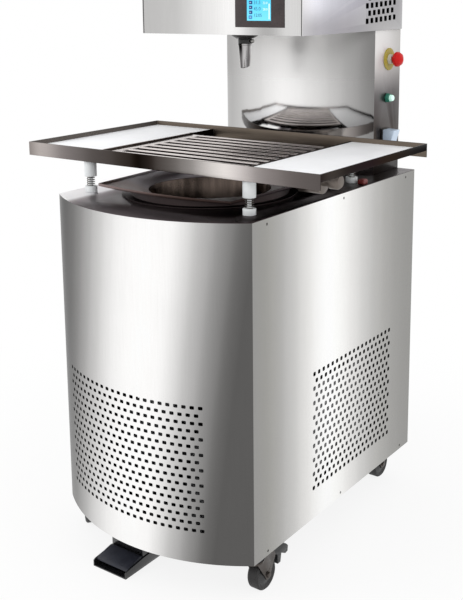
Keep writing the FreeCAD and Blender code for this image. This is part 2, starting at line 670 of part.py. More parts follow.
def board(side):
    xs = sorted((side * (CHANNEL_X[0] + 2.5), side * (TABLE_WIDTH / 2 - TABLE_SHEET - 1.0)))
    return block(xs[0], xs[1], TABLE_FRONT_Y + TABLE_SHEET + 1, TABLE_BACK_Y - TABLE_SHEET - 1,
                 BOARD_BOTTOM_Z, BOARD_TOP_Z)


def bar_grid():
    """Lift-out grid: ten round bars between a lipped box section on the left and a flat bar."""
    z = BOARD_TOP_Z - GRID_ROD_RADIUS
    z0 = CHANNEL_BOTTOM_Z + TABLE_FOLD
    z1 = BOARD_TOP_Z - 2.0
    y0 = GRID_LAST_ROD_Y - GRID_ROD_PITCH * (GRID_RODS - 1) - 18.0
    y1 = GRID_LAST_ROD_Y + 12.0
    left = -GRID_HALF + GRID_LEFT_BAR
    right = GRID_HALF - GRID_RIGHT_BAR
    wall = GRID_BAR_WALL
    section = block(-GRID_HALF, left, y0, y1, z0, z1).cut(
        block(-GRID_HALF + wall, left - wall, y0 - 1, y1 + 1, z0 + wall, z1 - wall))
    lip = block(-GRID_HALF, -GRID_HALF + GRID_LIP, y0, y1, z1 - wall, z1 + GRID_LIP)
    flat = block(right, GRID_HALF, y0, y1, z0, z1)
    rods = []
    for i in range(GRID_RODS):
        y = GRID_LAST_ROD_Y - GRID_ROD_PITCH * i
        rods.append(rod(GRID_ROD_RADIUS, (left - 1.0, y, z), (right + 1.0, y, z)))
    return fused([section, lip, flat] + rods)


def foot_sleeves():
    sleeves = []
    for x, y in FEET:
        sleeve = rod(FOOT_RADIUS, (x, y, SPRING_TOP_Z), (x, y, BOARD_BOTTOM_Z - TABLE_FOLD))
        sleeves.append(sleeve.cut(rod(GUIDE_PIN_RADIUS + 0.08, (x, y, SPRING_TOP_Z), (x, y, 1005))))
    return sleeves


def foot_springs():
    """Compression springs wound from square wire, one under each sleeve."""
    wire = 1.1
    coil_radius = 9.2
    height = SPRING_TOP_Z - SPRING_BOTTOM_Z - 2 * wire
    springs = []
    for x, y in FEET:
        helix = Part.makeHelix(height / SPRING_TURNS, height, coil_radius)
        section = Part.makePolygon([V(coil_radius - wire, 0, -wire), V(coil_radius + wire, 0, -wire),
                                    V(coil_radius + wire, 0, wire), V(coil_radius - wire, 0, wire),
                                    V(coil_radius - wire, 0, -wire)])
        spring = Part.Wire(helix.Edges).makePipeShell([section], True, True)
        spring.translate(V(x, y, SPRING_BOTTOM_Z + wire))
        springs.append(spring)
    return springs


def foot_collars():
    """White collars bolted to the deck, each carrying the pin that guides its spring and sleeve."""
    collars = []
    for x, y in FEET:
        collar = rod(FOOT_RADIUS, (x, y, DECK_Z), (x, y, SPRING_BOTTOM_Z))
        pin = rod(GUIDE_PIN_RADIUS, (x, y, SPRING_BOTTOM_Z), (x, y, 990))
        collars.append(fused([collar, pin]))
    return collars


def vibrator_bracket():
    """Saddle plate under the right-hand board, tied to the channel, that carries the vibrator."""
    x0, x1 = VIBRATOR_X
    saddle = block(CHANNEL_X[1] - TABLE_FOLD, x1, VIBRATOR_Y - 28, VIBRATOR_Y + 28,
                   VIBRATOR_TOP_Z, VIBRATOR_TOP_Z + 3.0)
    packing = block(x0, x1, VIBRATOR_Y - 28, VIBRATOR_Y + 28, VIBRATOR_TOP_Z + 3.0, BOARD_BOTTOM_Z)
    return fused([saddle, packing])


def vibrator_motor():
    """Unbalance motor lying across the table: large weight cover, waist and smaller end cover."""
    x0, x1 = VIBRATOR_X
    body = spun([(0, 0), (21, 0), (26, 7), (26, 66), (0, 66)],
                (x0, VIBRATOR_Y, VIBRATOR_TOP_Z - 26), (1, 0, 0))
    waist = rod(14.0, (x0 + 66, VIBRATOR_Y, VIBRATOR_TOP_Z - 20), (x0 + 86, VIBRATOR_Y, VIBRATOR_TOP_Z - 20))
    cap = spun([(0, 0), (18, 0), (18, 19), (14, 25), (0, 25)],
               (x0 + 86, VIBRATOR_Y, VIBRATOR_TOP_Z - 20), (1, 0, 0))
    pad = block(x0 + 12, x1 - 15, VIBRATOR_Y - 14, VIBRATOR_Y + 14, VIBRATOR_TOP_Z - 12, VIBRATOR_TOP_Z)
    return fused([body, waist, cap, pad])


def vibrator_connector():
    """Connector on the deck's right edge for the vibrator's supply."""
    body = block(270, 288, 168, 190, DECK_Z, DECK_Z + 13.0)
    return body.makeChamfer(3.0, [e for e in body.Edges if e.BoundBox.ZMin > DECK_Z + 12])


# ---- castors -----------------------------------------------------------------------------
def swivelled(shape, x, y, angle):
    """Turn a castor part about its king pin."""
    shape.rotate(V(x, y, 0), V(0, 0, 1), angle)
    return shape


def castor_plate(x, y):
    """Fixed plate with its pressed ball-race ring."""
    z = CASTOR_HEIGHT
    plate = block(x - 30, x + 30, y - 34, y + 34, z - 3, z)
    ring = rod(27.0, (x, y, z - 9), (x, y, z - 3))
    return fused([plate, ring]).cut(rod(6.0 + RUNNING, (x, y, z - 9), (x, y, z)))


def castor_fork(x, y, angle, braked):
    """Pressed swivel fork: crown, king pin and two broad cheeks raked back to the axle."""
    crown_top = CASTOR_HEIGHT - 9.3
    crown_low = crown_top - 5.0
    leg = 2.5
    half_gap = WHEEL_WIDTH / 2 + 1.5
    axle_y = y + CASTOR_TRAIL
    crown = rod(29.0, (x, y, crown_low), (x, y, crown_top))
    tongue = block(x - half_gap - leg, x + half_gap + leg, y - 10, y + 40, crown_low, crown_low + 3)
    pin = rod(6.0, (x, y, crown_top), (x, y, CASTOR_HEIGHT - 0.5))
    axle = rod(4.0, (x - half_gap - leg, axle_y, WHEEL_RADIUS), (x + half_gap + leg, axle_y, WHEEL_RADIUS))
    pieces = [crown, tongue, pin, axle]
    for side in (-1, 1):
        inner = min(side * half_gap, side * (half_gap + leg))
        outline = [(x + inner, y - 12, crown_low + 3), (x + inner, y + 60, crown_low + 3),
                   (x + inner, y + 70, crown_low - 10), (x + inner, axle_y + 13, WHEEL_RADIUS),
                   (x + inner, axle_y + 6, WHEEL_RADIUS - 12), (x + inner, axle_y - 6, WHEEL_RADIUS - 12),
                   (x + inner, axle_y - 13, WHEEL_RADIUS)]
        pieces.append(prism(outline, (leg, 0, 0)))
        nut = min(side * (half_gap + leg), side * (half_gap + leg + 4.0))
        pieces.append(rod(7.0, (x + nut, axle_y, WHEEL_RADIUS), (x + nut + 4.0, axle_y, WHEEL_RADIUS)))
    if braked:
        pivot_y = y + BRAKE_PIVOT_Y
        pieces.append(rod(BRAKE_PIN_RADIUS, (x - half_gap - leg, pivot_y, BRAKE_PIVOT_Z),
                          (x + half_gap + leg, pivot_y, BRAKE_PIVOT_Z)))
    return swivelled(fused(pieces), x, y, angle)


def castor_wheel(x, y, angle):
    """Solid tyre on a dished hub, turning on the fork's axle."""
    half = WHEEL_WIDTH / 2
    profile = [(4.0 + RUNNING, -half - 1), (11, -half - 1), (27, -half + 4), (WHEEL_RADIUS - 4, -half),
               (WHEEL_RADIUS, -half + 4), (WHEEL_RADIUS, half - 4), (WHEEL_RADIUS - 4, half), (27, half - 4),
               (11, half + 1), (4.0 + RUNNING, half + 1)]
    wheel = spun(profile, (x, y + CASTOR_TRAIL, WHEEL_RADIUS), (1, 0, 0))
    return swivelled(wheel, x, y, angle)


def brake_lever(x, y, angle):
    """Toe pedal that tips on a pin behind the fork and swings its shoe against the tyre."""
    tyre_back = y + CASTOR_TRAIL + WHEEL_RADIUS
    half = WHEEL_WIDTH / 2 + 1.0
    outline = [(tyre_back - 26, 82), (tyre_back - 20, 90), (tyre_back + 10, 89), (tyre_back + 44, 80),
               (tyre_back + 52, 72), (tyre_back + 50, 58), (tyre_back + 40, 56), (tyre_back + 22, 66),
               (tyre_back + 18, 44), (tyre_back + 6, 44), (tyre_back + 5, 68), (tyre_back - 8, 80)]
    lever = prism([(x - half, across, z) for across, z in outline], (2 * half, 0, 0))
    pivot_y = y + BRAKE_PIVOT_Y
    lever = lever.cut(rod(BRAKE_PIN_RADIUS + RUNNING, (x - half, pivot_y, BRAKE_PIVOT_Z),
                          (x + half, pivot_y, BRAKE_PIVOT_Z)))
    return swivelled(lever, x, y, angle)


# ---- foot switch -------------------------------------------------------------------------
def pedal_base():
    """Steel floor tray with low cheeks that rise towards the switch housing."""
    x0, x1 = PEDAL_X
    pieces = [block(x0, x1, PEDAL_FRONT_Y, PEDAL_BACK_Y, 0, 3)]
    for left in (x0, x1 - 3.0):
        outline = [(left, PEDAL_FRONT_Y, 3), (left, PEDAL_FRONT_Y, 16), (left, PEDAL_FRONT_Y + 6, 19),
                   (left, PEDAL_HOUSING_Y, 26), (left, PEDAL_BACK_Y, 30), (left, PEDAL_BACK_Y, 3)]
        pieces.append(prism(outline, (3, 0, 0)))
    return fused(pieces)


def pedal_housing():
    x0, x1 = PEDAL_X
    top = 60.0
    body = block(x0 + 3, x1 - 3, PEDAL_HOUSING_Y, PEDAL_BACK_Y, 3, top)
    return body.makeFillet(8.0, [e for e in body.Edges if e.BoundBox.ZMin > top - 1])


def pedal_treadle():
    """Toe plate hinged on a cross pin just in front of the housing."""
    left = PEDAL_X[0] + 4.0
    width = PEDAL_X[1] - PEDAL_X[0] - 8.0
    hinge_y = PEDAL_HOUSING_Y - 7.0
    outline = [(PEDAL_FRONT_Y + 9, 14), (PEDAL_FRONT_Y + 9, 18), (PEDAL_FRONT_Y + 15, 22), (hinge_y - 4, 31),
               (hinge_y + 4, 31), (hinge_y + 5.5, 27), (hinge_y + 4, 18), (hinge_y - 6, 14)]
    return prism([(left, y, z) for y, z in outline], (width, 0, 0))


def main():
    os.makedirs("parts", exist_ok=True)
    export("base_frame", base_frame())
    export("front_panel", [front_panel()])
    export("right_side_panel", [side_panel(1)])
    export("left_side_panel", [side_panel(-1)])
    export("rear_panel", [rear_panel()])
    export("deck_plate", [deck_plate()])
    export("tank_bowl", [tank_bowl()])
    export("tank_heater_band", [tank_heater()])
    export("tank_cover", [tank_cover()])
    export("shaft_bushes", [tank_bush(), auger_bearing()])
    export("tank_stirrer", [stirrer()])
    export("stirrer_gearmotor", [stirrer_gearmotor()])
    export("tempering_tube", [tempering_tube()])
    export("auger_screw", [auger_screw()])
    export("auger_gearmotor", [auger_gearmotor()])
    export("feed_pipe", [feed_pipe()])
    export("outlet_channel", [outlet_channel()])
    export("compressor", [compressor()])
    export("condenser", [condenser()])
    export("fan_shroud", [fan_shroud()])
    export("fan_rotor", [fan_rotor()])
    export("electrics_box", [electrics_box()])
    export("column_shell", [column_shell()])
    export("head_shell", [head_shell()])
    export("head_front_panel", [head_front_panel()])
    export("head_bottom_plate", [head_bottom()])
    export("display_bezel", [display_bezel()])
    export("display_screen", [display_screen()])
    export("spout_flange", [spout_flange()])
    export("spout_collar", [spout_collar()])
    export("spout_tube", [spout_tube()])
    export("emergency_stop_plate", [estop_plate()])
    export("emergency_stop_collar", [estop_collar()])
    export("emergency_stop_button", [estop_button()])
    export("start_button_bezel", [start_bezel()])
    export("start_button", [start_button()])
    export("table_plug", [table_plug_base(), table_plug()])
    export("table_frame", [table_frame()])
    export("right_board", [board(1)])
    export("left_board", [board(-1)])
    export("bar_grid", [bar_grid()])
    export("table_foot_sleeves", foot_sleeves())
    export("table_foot_springs", foot_springs())
    export("table_foot_collars", foot_collars())
    export("vibrator_motor", [vibrator_motor()])
    export("vibrator_connector", [vibrator_connector()])
    export("castor_plates", [castor_plate(x, y) for x, y, angle in CASTORS.values()])
    for place, (x, y, angle) in CASTORS.items():
        braked = place.startswith("front")
        export("castor_fork_" + place, [castor_fork(x, y, angle, braked)])
        export("castor_wheel_" + place, [castor_wheel(x, y, angle)])
        if braked:
            export("castor_brake_" + place, [brake_lever(x, y, angle)])
    export("pedal_base", [pedal_base()])
    export("pedal_housing", [pedal_housing()])
    export("pedal_treadle", [pedal_treadle()])


main()
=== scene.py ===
import json
import math

import bmesh
import bpy
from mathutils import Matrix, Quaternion, Vector

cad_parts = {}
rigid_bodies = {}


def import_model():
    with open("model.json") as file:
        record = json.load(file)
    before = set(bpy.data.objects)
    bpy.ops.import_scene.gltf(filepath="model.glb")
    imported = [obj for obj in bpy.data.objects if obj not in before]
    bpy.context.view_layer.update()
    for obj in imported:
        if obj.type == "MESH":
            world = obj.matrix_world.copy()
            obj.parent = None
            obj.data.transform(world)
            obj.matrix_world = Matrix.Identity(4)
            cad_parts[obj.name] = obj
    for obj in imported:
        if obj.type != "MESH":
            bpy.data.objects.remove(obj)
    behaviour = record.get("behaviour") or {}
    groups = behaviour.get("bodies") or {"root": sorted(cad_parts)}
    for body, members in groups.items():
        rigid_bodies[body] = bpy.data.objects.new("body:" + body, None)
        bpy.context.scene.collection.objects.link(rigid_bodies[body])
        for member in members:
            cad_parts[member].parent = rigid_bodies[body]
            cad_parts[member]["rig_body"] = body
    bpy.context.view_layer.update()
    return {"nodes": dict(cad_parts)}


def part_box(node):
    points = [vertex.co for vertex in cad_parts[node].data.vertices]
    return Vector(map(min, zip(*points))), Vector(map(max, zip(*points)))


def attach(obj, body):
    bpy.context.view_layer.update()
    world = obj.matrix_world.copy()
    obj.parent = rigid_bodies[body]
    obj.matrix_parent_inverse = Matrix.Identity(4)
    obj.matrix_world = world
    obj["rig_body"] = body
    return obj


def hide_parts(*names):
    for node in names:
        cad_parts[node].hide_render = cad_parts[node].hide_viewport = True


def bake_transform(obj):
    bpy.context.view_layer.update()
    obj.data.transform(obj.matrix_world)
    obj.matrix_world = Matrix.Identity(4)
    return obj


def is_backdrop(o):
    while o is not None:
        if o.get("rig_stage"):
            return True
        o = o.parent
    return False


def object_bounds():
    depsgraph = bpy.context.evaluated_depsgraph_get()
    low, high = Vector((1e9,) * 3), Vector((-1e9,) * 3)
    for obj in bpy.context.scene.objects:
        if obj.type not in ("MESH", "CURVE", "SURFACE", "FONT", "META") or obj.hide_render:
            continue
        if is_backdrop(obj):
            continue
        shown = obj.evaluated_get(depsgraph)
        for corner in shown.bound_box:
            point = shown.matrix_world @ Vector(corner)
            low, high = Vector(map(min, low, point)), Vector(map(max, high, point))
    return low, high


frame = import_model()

scene = bpy.context.scene
scene.view_settings.view_transform = "Standard"


# ---- studio ----------------------------------------------------------
# Not part of the machine: a pale floor in a plain white surround, two broad soft lamps and
# the camera, standing at head height off the machine's right front corner.

def put(tree, kind, inputs=(), **settings):
    """Add a node, set its properties and fill or link its inputs."""
    node = tree.nodes.new(kind)
    for key, value in settings.items():
        setattr(node, key, value)
    for key, value in dict(inputs).items():
        socket = node.inputs[key]
        if isinstance(value, bpy.types.NodeSocket):
            tree.links.new(value, socket)
        else:
            socket.default_value = value
    return node


def tint(red, green, blue):
    """A colour written as 0 to 255 screen tones, as the shader's linear colour."""
    def linear(tone):
        share = tone / 255
        return share / 12.92 if share <= 0.04045 else ((share + 0.055) / 1.055) ** 2.4
    return (linear(red), linear(green), linear(blue), 1.0)


def blank_material(name):
    """A new material and its node tree, still empty."""
    material = bpy.data.materials.new(name)
    material.use_nodes = True
    material.node_tree.nodes.clear()
    return material, material.node_tree


def worked(tree, operation, *values, clamp=False):
    """One sum on numbers."""
    sum_node = put(tree, "ShaderNodeMath", dict(enumerate(values)), operation=operation, use_clamp=clamp)
    return sum_node.outputs[0]


def spread(tree, value, low, high, start=0.0, end=1.0, kind="LINEAR"):
    """Turn a value's run from low to high into one from start to end, and hold it there beyond."""
    inputs = {"Value": value, "From Min": low, "From Max": high, "To Min": start, "To Max": end}
    return put(tree, "ShaderNodeMapRange", inputs, interpolation_type=kind).outputs[0]


def place_on(tree):
    """Where a point of the surface lies, in its object's own metres."""
    return put(tree, "ShaderNodeTexCoord").outputs["Object"]


def in_scene(name, data):
    """A new object in the scene for this mesh, text, lamp or camera."""
    thing = bpy.data.objects.new(name, data)
    scene.collection.objects.link(thing)
    return thing


def seen_directly(tree):
    """One for the camera's rays and for what gloss and glass show, nought for the light itself."""
    path = put(tree, "ShaderNodeLightPath").outputs
    mirrored = worked(tree, "ADD", path["Is Camera Ray"], path["Is Glossy Ray"], clamp=True)
    return worked(tree, "ADD", mirrored, path["Is Transmission Ray"], clamp=True)


WORLD_LIGHT = 0.92
surround = bpy.data.worlds.new("white_surround")
surround.use_nodes = True
surround.node_tree.nodes.clear()
level = spread(surround.node_tree, seen_directly(surround.node_tree), 0.0, 1.0, WORLD_LIGHT, 1.0)
glow = put(surround.node_tree, "ShaderNodeBackground", {"Color": (1, 1, 1, 1), "Strength": level})
put(surround.node_tree, "ShaderNodeOutputWorld", {"Surface": glow.outputs[0]})
scene.world = surround

FLOOR_HALF = 40.0
SHADOW_REACH = (0.55, 1.6)
NEAR_WHITENESS = 0.86
floor_mesh = bpy.data.meshes.new("studio_floor")
floor_mesh.from_pydata([(-FLOOR_HALF, -FLOOR_HALF, 0), (FLOOR_HALF, -FLOOR_HALF, 0),
                        (FLOOR_HALF, FLOOR_HALF, 0), (-FLOOR_HALF, FLOOR_HALF, 0)], [], [(0, 1, 2, 3)])
floor = in_scene("studio_floor", floor_mesh)
pale_floor, tree = blank_material("pale_floor")
distance = put(tree, "ShaderNodeVectorMath", {0: place_on(tree)}, operation="LENGTH").outputs["Value"]
fade = spread(tree, distance, *SHADOW_REACH, NEAR_WHITENESS, 1.0, kind="SMOOTHSTEP")
whiteness = worked(tree, "MULTIPLY", fade, seen_directly(tree))
painted = put(tree, "ShaderNodeBsdfPrincipled", {"Base Color": tint(240, 240, 239), "Roughness": 0.85})
white = put(tree, "ShaderNodeEmission", {"Color": (1, 1, 1, 1), "Strength": 1.0})
mixed = put(tree, "ShaderNodeMixShader", {0: whiteness, 1: painted.outputs[0], 2: white.outputs[0]})
put(tree, "ShaderNodeOutputMaterial", {"Surface": mixed.outputs[0]})
floor_mesh.materials.append(pale_floor)
floor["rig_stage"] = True


def soft_lamp(name, place, aim, width, watts):
    """A square lamp that lights things softly and isn't mirrored in them."""
    data = bpy.data.lights.new(name, "AREA")
    data.shape = "SQUARE"
    data.size = width
    data.energy = watts
    lamp = in_scene(name, data)
    lamp.location = place
    lamp.rotation_euler = (Vector(aim) - Vector(place)).to_track_quat("-Z", "Y").to_euler()
    lamp.visible_glossy = False
    return lamp


soft_lamp("left_front_lamp", place=(-2.6, -3.2, 3.4), aim=(0, 0, 0.8), width=2.4, watts=66)
soft_lamp("right_lamp", place=(3.4, -0.6, 2.6), aim=(0, 0, 0.9), width=2.4, watts=26)

CAMERA_PLACE = (1.4967, -2.0612, 1.4125)
CAMERA_TURN = 36.22
CAMERA_DIP = 10.97
CAMERA_TILT = -0.59
camera_data = bpy.data.cameras.new("camera")
camera_data.lens = 59.36
camera_data.shift_y = -0.19
camera_data.clip_start = 0.05
camera = in_scene("camera", camera_data)
turn, dip = math.radians(CAMERA_TURN), math.radians(CAMERA_DIP)
ahead = Vector((-math.sin(turn) * math.cos(dip), math.cos(turn) * math.cos(dip), -math.sin(dip)))
camera.location = CAMERA_PLACE
camera.rotation_mode = "QUATERNION"
camera.rotation_quaternion = ahead.to_track_quat("-Z", "Y") @ Quaternion((0, 0, 1), math.radians(CAMERA_TILT))
scene.camera = camera


# ---- floor pan and welded frame --------------------------------------
# A folded pan, four corner angles and two top rails, zinc plated, that carry every panel.
# Sheared edges are broken by hand, so each one shows a thin rounded line of light.

def new_group(name, kind, inputs, outputs):
    """A node group with named sockets, returned with what comes in and what goes out."""
    group = bpy.data.node_groups.new(name, kind)
    sides = [("INPUT", *socket) for socket in inputs] + [("OUTPUT", *socket, None) for socket in outputs]
    for in_out, label, socket_kind, value in sides:
        made = group.interface.new_socket(name=label, in_out=in_out, socket_type="NodeSocket" + socket_kind)
        if value is not None:
            made.default_value = value
    return group, group.nodes.new("NodeGroupInput").outputs, group.nodes.new("NodeGroupOutput").inputs


def multiplied(tree, first, second):
    """Two colours or places times each other, or one times a number."""
    return put(tree, "ShaderNodeVectorMath", {0: first, 1: second}, operation="MULTIPLY").outputs[0]


# Surface marks left by making and use: long fine grain and cloudy handling marks.
surface_marks, entry, leave = new_group(
    "surface_marks", "ShaderNodeTree",
    [("Place", "Vector", None), ("Colour", "Color", (0.5, 0.5, 0.5, 1)),
     ("Grain Size", "Vector", (900.0, 900.0, 12.0)), ("Cloud Size", "Float", 9.0),
     ("Mark Depth", "Float", 0.08), ("Roughness Low", "Float", 0.2), ("Roughness High", "Float", 0.35)],
    [("Colour", "Color"), ("Roughness", "Float"), ("Height", "Float")])
stretched = multiplied(surface_marks, entry["Place"], entry["Grain Size"])
grain = put(surface_marks, "ShaderNodeTexNoise",
            {"Vector": stretched, "Scale": 1.0, "Detail": 3.0, "Roughness": 0.6}).outputs["Fac"]
cloud = put(surface_marks, "ShaderNodeTexNoise",
            {"Vector": entry["Place"], "Scale": entry["Cloud Size"], "Detail": 4.0,
             "Roughness": 0.62}).outputs["Fac"]
deep = spread(surface_marks, worked(surface_marks, "ADD", grain, cloud), 0.7, 1.3, -1.0, 1.0)
gain = worked(surface_marks, "MULTIPLY_ADD", deep, entry["Mark Depth"], 1.0)
sheen = spread(surface_marks, cloud, 0.3, 0.7, entry["Roughness Low"], entry["Roughness High"])
surface_marks.links.new(multiplied(surface_marks, entry["Colour"], gain), leave["Colour"])
surface_marks.links.new(sheen, leave["Roughness"])
surface_marks.links.new(grain, leave["Height"])


def marked(tree, place, colour, depth, roughness, grain=(900, 900, 12), cloud=9.0):
    """Colour, roughness and height of a surface with grain and handling marks on it."""
    return put(tree, "ShaderNodeGroup",
               {"Place": place, "Colour": colour, "Grain Size": grain, "Cloud Size": cloud,
                "Mark Depth": depth, "Roughness Low": roughness[0], "Roughness High": roughness[1]},
               node_tree=surface_marks).outputs


def ended(tree, **sockets):
    """End a material in a Principled shader; an underscore stands for a space in a socket's name."""
    inputs = {key.replace("_", " "): value for key, value in sockets.items()}
    shader = put(tree, "ShaderNodeBsdfPrincipled", inputs)
    put(tree, "ShaderNodeOutputMaterial", {"Surface": shader.outputs[0]})


def marked_finish(name, colour, roughness, metallic=0.0, marks=0.1, grain=(900, 900, 12), cloud=40.0,
                  bump=0.15, depth=0.00008, **sockets):
    """A finish in one colour, with grain and handling marks on it; one number is an even grain."""
    material, tree = blank_material(name)
    size = grain if isinstance(grain, tuple) else (grain, grain, grain)
    skin = marked(tree, place_on(tree), tint(*colour), marks, roughness, size, cloud)
    relief = put(tree, "ShaderNodeBump", {"Height": skin["Height"], "Strength": bump, "Distance": depth})
    ended(tree, Base_Color=skin["Colour"], Roughness=skin["Roughness"], Metallic=metallic,
          Normal=relief.outputs[0], **sockets)
    return material


def made_mesh(name, shape):
    """A mesh of this name from a bmesh, which is freed."""
    mesh = bpy.data.meshes.new(name)
    shape.to_mesh(mesh)
    shape.free()
    return mesh


def plain_mesh(thing):
    """Apply a thing's modifiers and return its mesh on its own."""
    shape = bpy.data.meshes.new_from_object(thing.evaluated_get(bpy.context.evaluated_depsgraph_get()))
    bpy.data.objects.remove(thing)
    return shape


def soft_edges(mesh, degrees=34):
    """Smooth shading that keeps every edge sharper than this."""
    mesh.polygons.foreach_set("use_smooth", [True] * len(mesh.polygons))
    mesh.set_sharp_from_angle(angle=math.radians(degrees))


def finished(node, material, edge=0.0006, cutter=None):
    """The CAD piece with its sheared or moulded edges broken, smooth curves and its real finish.

    cutter is a closed mesh that is cut away from the piece before its edges are broken.
    """
    raw = bmesh.new()
    raw.from_mesh(frame["nodes"][node].data)
    bmesh.ops.remove_doubles(raw, verts=raw.verts, dist=0.000002)
    bmesh.ops.dissolve_limit(raw, angle_limit=math.radians(0.6), verts=raw.verts, edges=raw.edges)
    name = node + "_finished"
    piece = in_scene(name, made_mesh(name, raw))
    if cutter:
        tool = in_scene(node + "_cutter", cutter)
        cut = piece.modifiers.new("punched", "BOOLEAN")
        cut.operation = "DIFFERENCE"
        cut.solver = "EXACT"
        cut.object = tool
        piece = in_scene(name, plain_mesh(piece))
        bpy.data.objects.remove(tool)
    if edge:
        bevel = piece.modifiers.new("broken_edges", "BEVEL")
        bevel.width = edge
        bevel.segments = 2
        bevel.limit_method = "ANGLE"
        bevel.angle_limit = math.radians(40)
        bevel.use_clamp_overlap = True
        piece = in_scene(name, plain_mesh(piece))
    mesh = piece.data
    soft_edges(mesh)
    mesh.materials.clear()
    mesh.materials.append(material)
    mesh.polygons.foreach_set("material_index", [0] * len(mesh.polygons))
    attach(piece, frame["nodes"][node]["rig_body"])
    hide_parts(node)
    return piece


def refinished(piece, material, chosen):
    """Give another finish to the faces of a piece that pass a test."""
    piece.data.materials.append(material)
    for polygon in piece.data.polygons:
        if chosen(polygon):
            polygon.material_index = len(piece.data.materials) - 1


zinc_plate = marked_finish("zinc_plate", (128, 130, 132), (0.35, 0.55), metallic=0.9, marks=0.14,
                           cloud=22.0)
finished("base_frame", zinc_plate)


# ---- cabinet panels --------------------------------------------------
# Polished 1.5 mm stainless sheet: a rolled front, two flat sides and a lift-off rear panel.
# The front and sides are punched with staggered air holes, and the sides are screwed on.

def axes_of(tree, vector):
    """The X, Y and Z of a place or a direction."""
    return put(tree, "ShaderNodeSeparateXYZ", {0: vector}).outputs


def blended(tree, share, first, second):
    """One colour turning into another."""
    inputs = {"Factor": share, "A": first, "B": second}
    return put(tree, "ShaderNodeMix", inputs, data_type="RGBA").outputs["Result"]


# Painted reflection and shade of a standing polished sheet, chosen by the way its faces turn: front, sides,
# top and underside.
GREY = (0.5, 0.5, 0.5, 1)
facing_painted_reflection, entry, leave = new_group(
    "facing_painted_reflection", "ShaderNodeTree",
    [("Facing", "Vector", None), ("Front", "Color", GREY), ("Side", "Color", GREY),
     ("Top", "Color", GREY), ("Under", "Color", GREY), ("Side From", "Float", 0.78),
     ("Side Full", "Float", 0.92), ("Top From", "Float", 0.55), ("Top Full", "Float", 0.8)],
    [("Colour", "Color"), ("Sideways", "Float")])
axes = axes_of(facing_painted_reflection, entry["Facing"])
turned_aside = worked(facing_painted_reflection, "ABSOLUTE", axes["X"])
turned_down = worked(facing_painted_reflection, "MULTIPLY", axes["Z"], -1.0)
shares = {"Side": spread(facing_painted_reflection, turned_aside, entry["Side From"], entry["Side Full"], kind="SMOOTHSTEP"),
          "Top": spread(facing_painted_reflection, axes["Z"], entry["Top From"], entry["Top Full"], kind="SMOOTHSTEP"),
          "Under": spread(facing_painted_reflection, turned_down, 0.55, 0.8, kind="SMOOTHSTEP")}
colour = entry["Front"]
for label, share in shares.items():
    colour = blended(facing_painted_reflection, share, colour, entry[label])
facing_painted_reflection.links.new(colour, leave["Colour"])
facing_painted_reflection.links.new(shares["Side"], leave["Sideways"])


def painted_reflection_bands(tree, value, stops):
    """A soft run of painted reflection shades along one direction of a polished sheet."""
    low, high = stops[0][0], stops[-1][0]
    ramp = put(tree, "ShaderNodeValToRGB", {"Fac": spread(tree, value, low, high)})
    ramp.color_ramp.interpolation = "CARDINAL"
    marks = ramp.color_ramp.elements
    while len(marks) < len(stops):
        marks.new(0.5)
    for mark, (position, shade) in zip(marks, stops):
        mark.position = (position - low) / (high - low)
        mark.color = tint(*shade) if isinstance(shade, tuple) else tint(shade, shade - 1, shade - 2)
    return ramp.outputs["Color"]


def sheet_with_painted_reflection(name, front, side, top, under, marks=0.035, roughness=(0.10, 0.2), grain=(700, 700, 9),
                   lean=None, fading=None, footing=None, misting=None, haze=0.0, crown=(0.55, 0.8), rim=1.0):
    """Polished stainless with its reflections painted into its colour: shades run across the front by X and
    along the sides by Y, in metres.

    lean slants the front's painted shades by height, as (left, right), fading is painted shade that darkens
    the sides by Z, top is one painted shade or a run of them by Y, under is the painted shade of faces turned
    down, footing is (low Z, high Z, the sides' painted shades by Y at the bottom), misting is (low Z, high Z,
    roughness added at the top), haze is roughness added to the sides, crown is where a face starts and ends
    turning to the top, and rim is its glancing tint.
    """
    material, tree = blank_material(name)
    coordinates = put(tree, "ShaderNodeTexCoord").outputs
    place = coordinates["Object"]
    parts = axes_of(tree, place)
    across = parts["X"]
    if lean:
        raised = worked(tree, "SUBTRACT", LEAN_HEIGHT, parts["Z"])
        across = worked(tree, "MULTIPLY_ADD", raised, spread(tree, across, *LEAN_SPAN, *lean), across)
    flank = painted_reflection_bands(tree, parts["Y"], side)
    if footing:
        low_z, high_z, shades = footing
        risen = spread(tree, parts["Z"], low_z, high_z, kind="SMOOTHSTEP")
        flank = blended(tree, risen, painted_reflection_bands(tree, parts["Y"], shades), flank)
    if fading:
        flank = multiplied(tree, flank, painted_reflection_bands(tree, parts["Z"], fading))
    upper = painted_reflection_bands(tree, parts["Y"], top) if isinstance(top, list) else tint(*top)
    facing = put(tree, "ShaderNodeGroup",
                 {"Facing": coordinates["Normal"], "Front": painted_reflection_bands(tree, across, front), "Side": flank,
                  "Top": upper, "Under": tint(*under), "Top From": crown[0], "Top Full": crown[1]},
                 node_tree=facing_painted_reflection).outputs
    skin = marked(tree, place, facing["Colour"], marks, roughness, grain, cloud=5.0)
    sheen = skin["Roughness"]
    if misting:
        low_z, high_z, mist = misting
        misted = spread(tree, parts["Z"], low_z, high_z, 0.0, mist, kind="SMOOTHSTEP")
        sheen = worked(tree, "ADD", sheen, misted)
    if haze:
        sheen = worked(tree, "MULTIPLY_ADD", facing["Sideways"], haze, sheen)
    relief = put(tree, "ShaderNodeBump", {"Height": skin["Height"], "Strength": 0.06, "Distance": 0.00004})
    ended(tree, Base_Color=skin["Colour"], Roughness=sheen, Metallic=1.0, Specular_Tint=(rim, rim, rim, 1.0),
          Normal=relief.outputs[0])
    return material


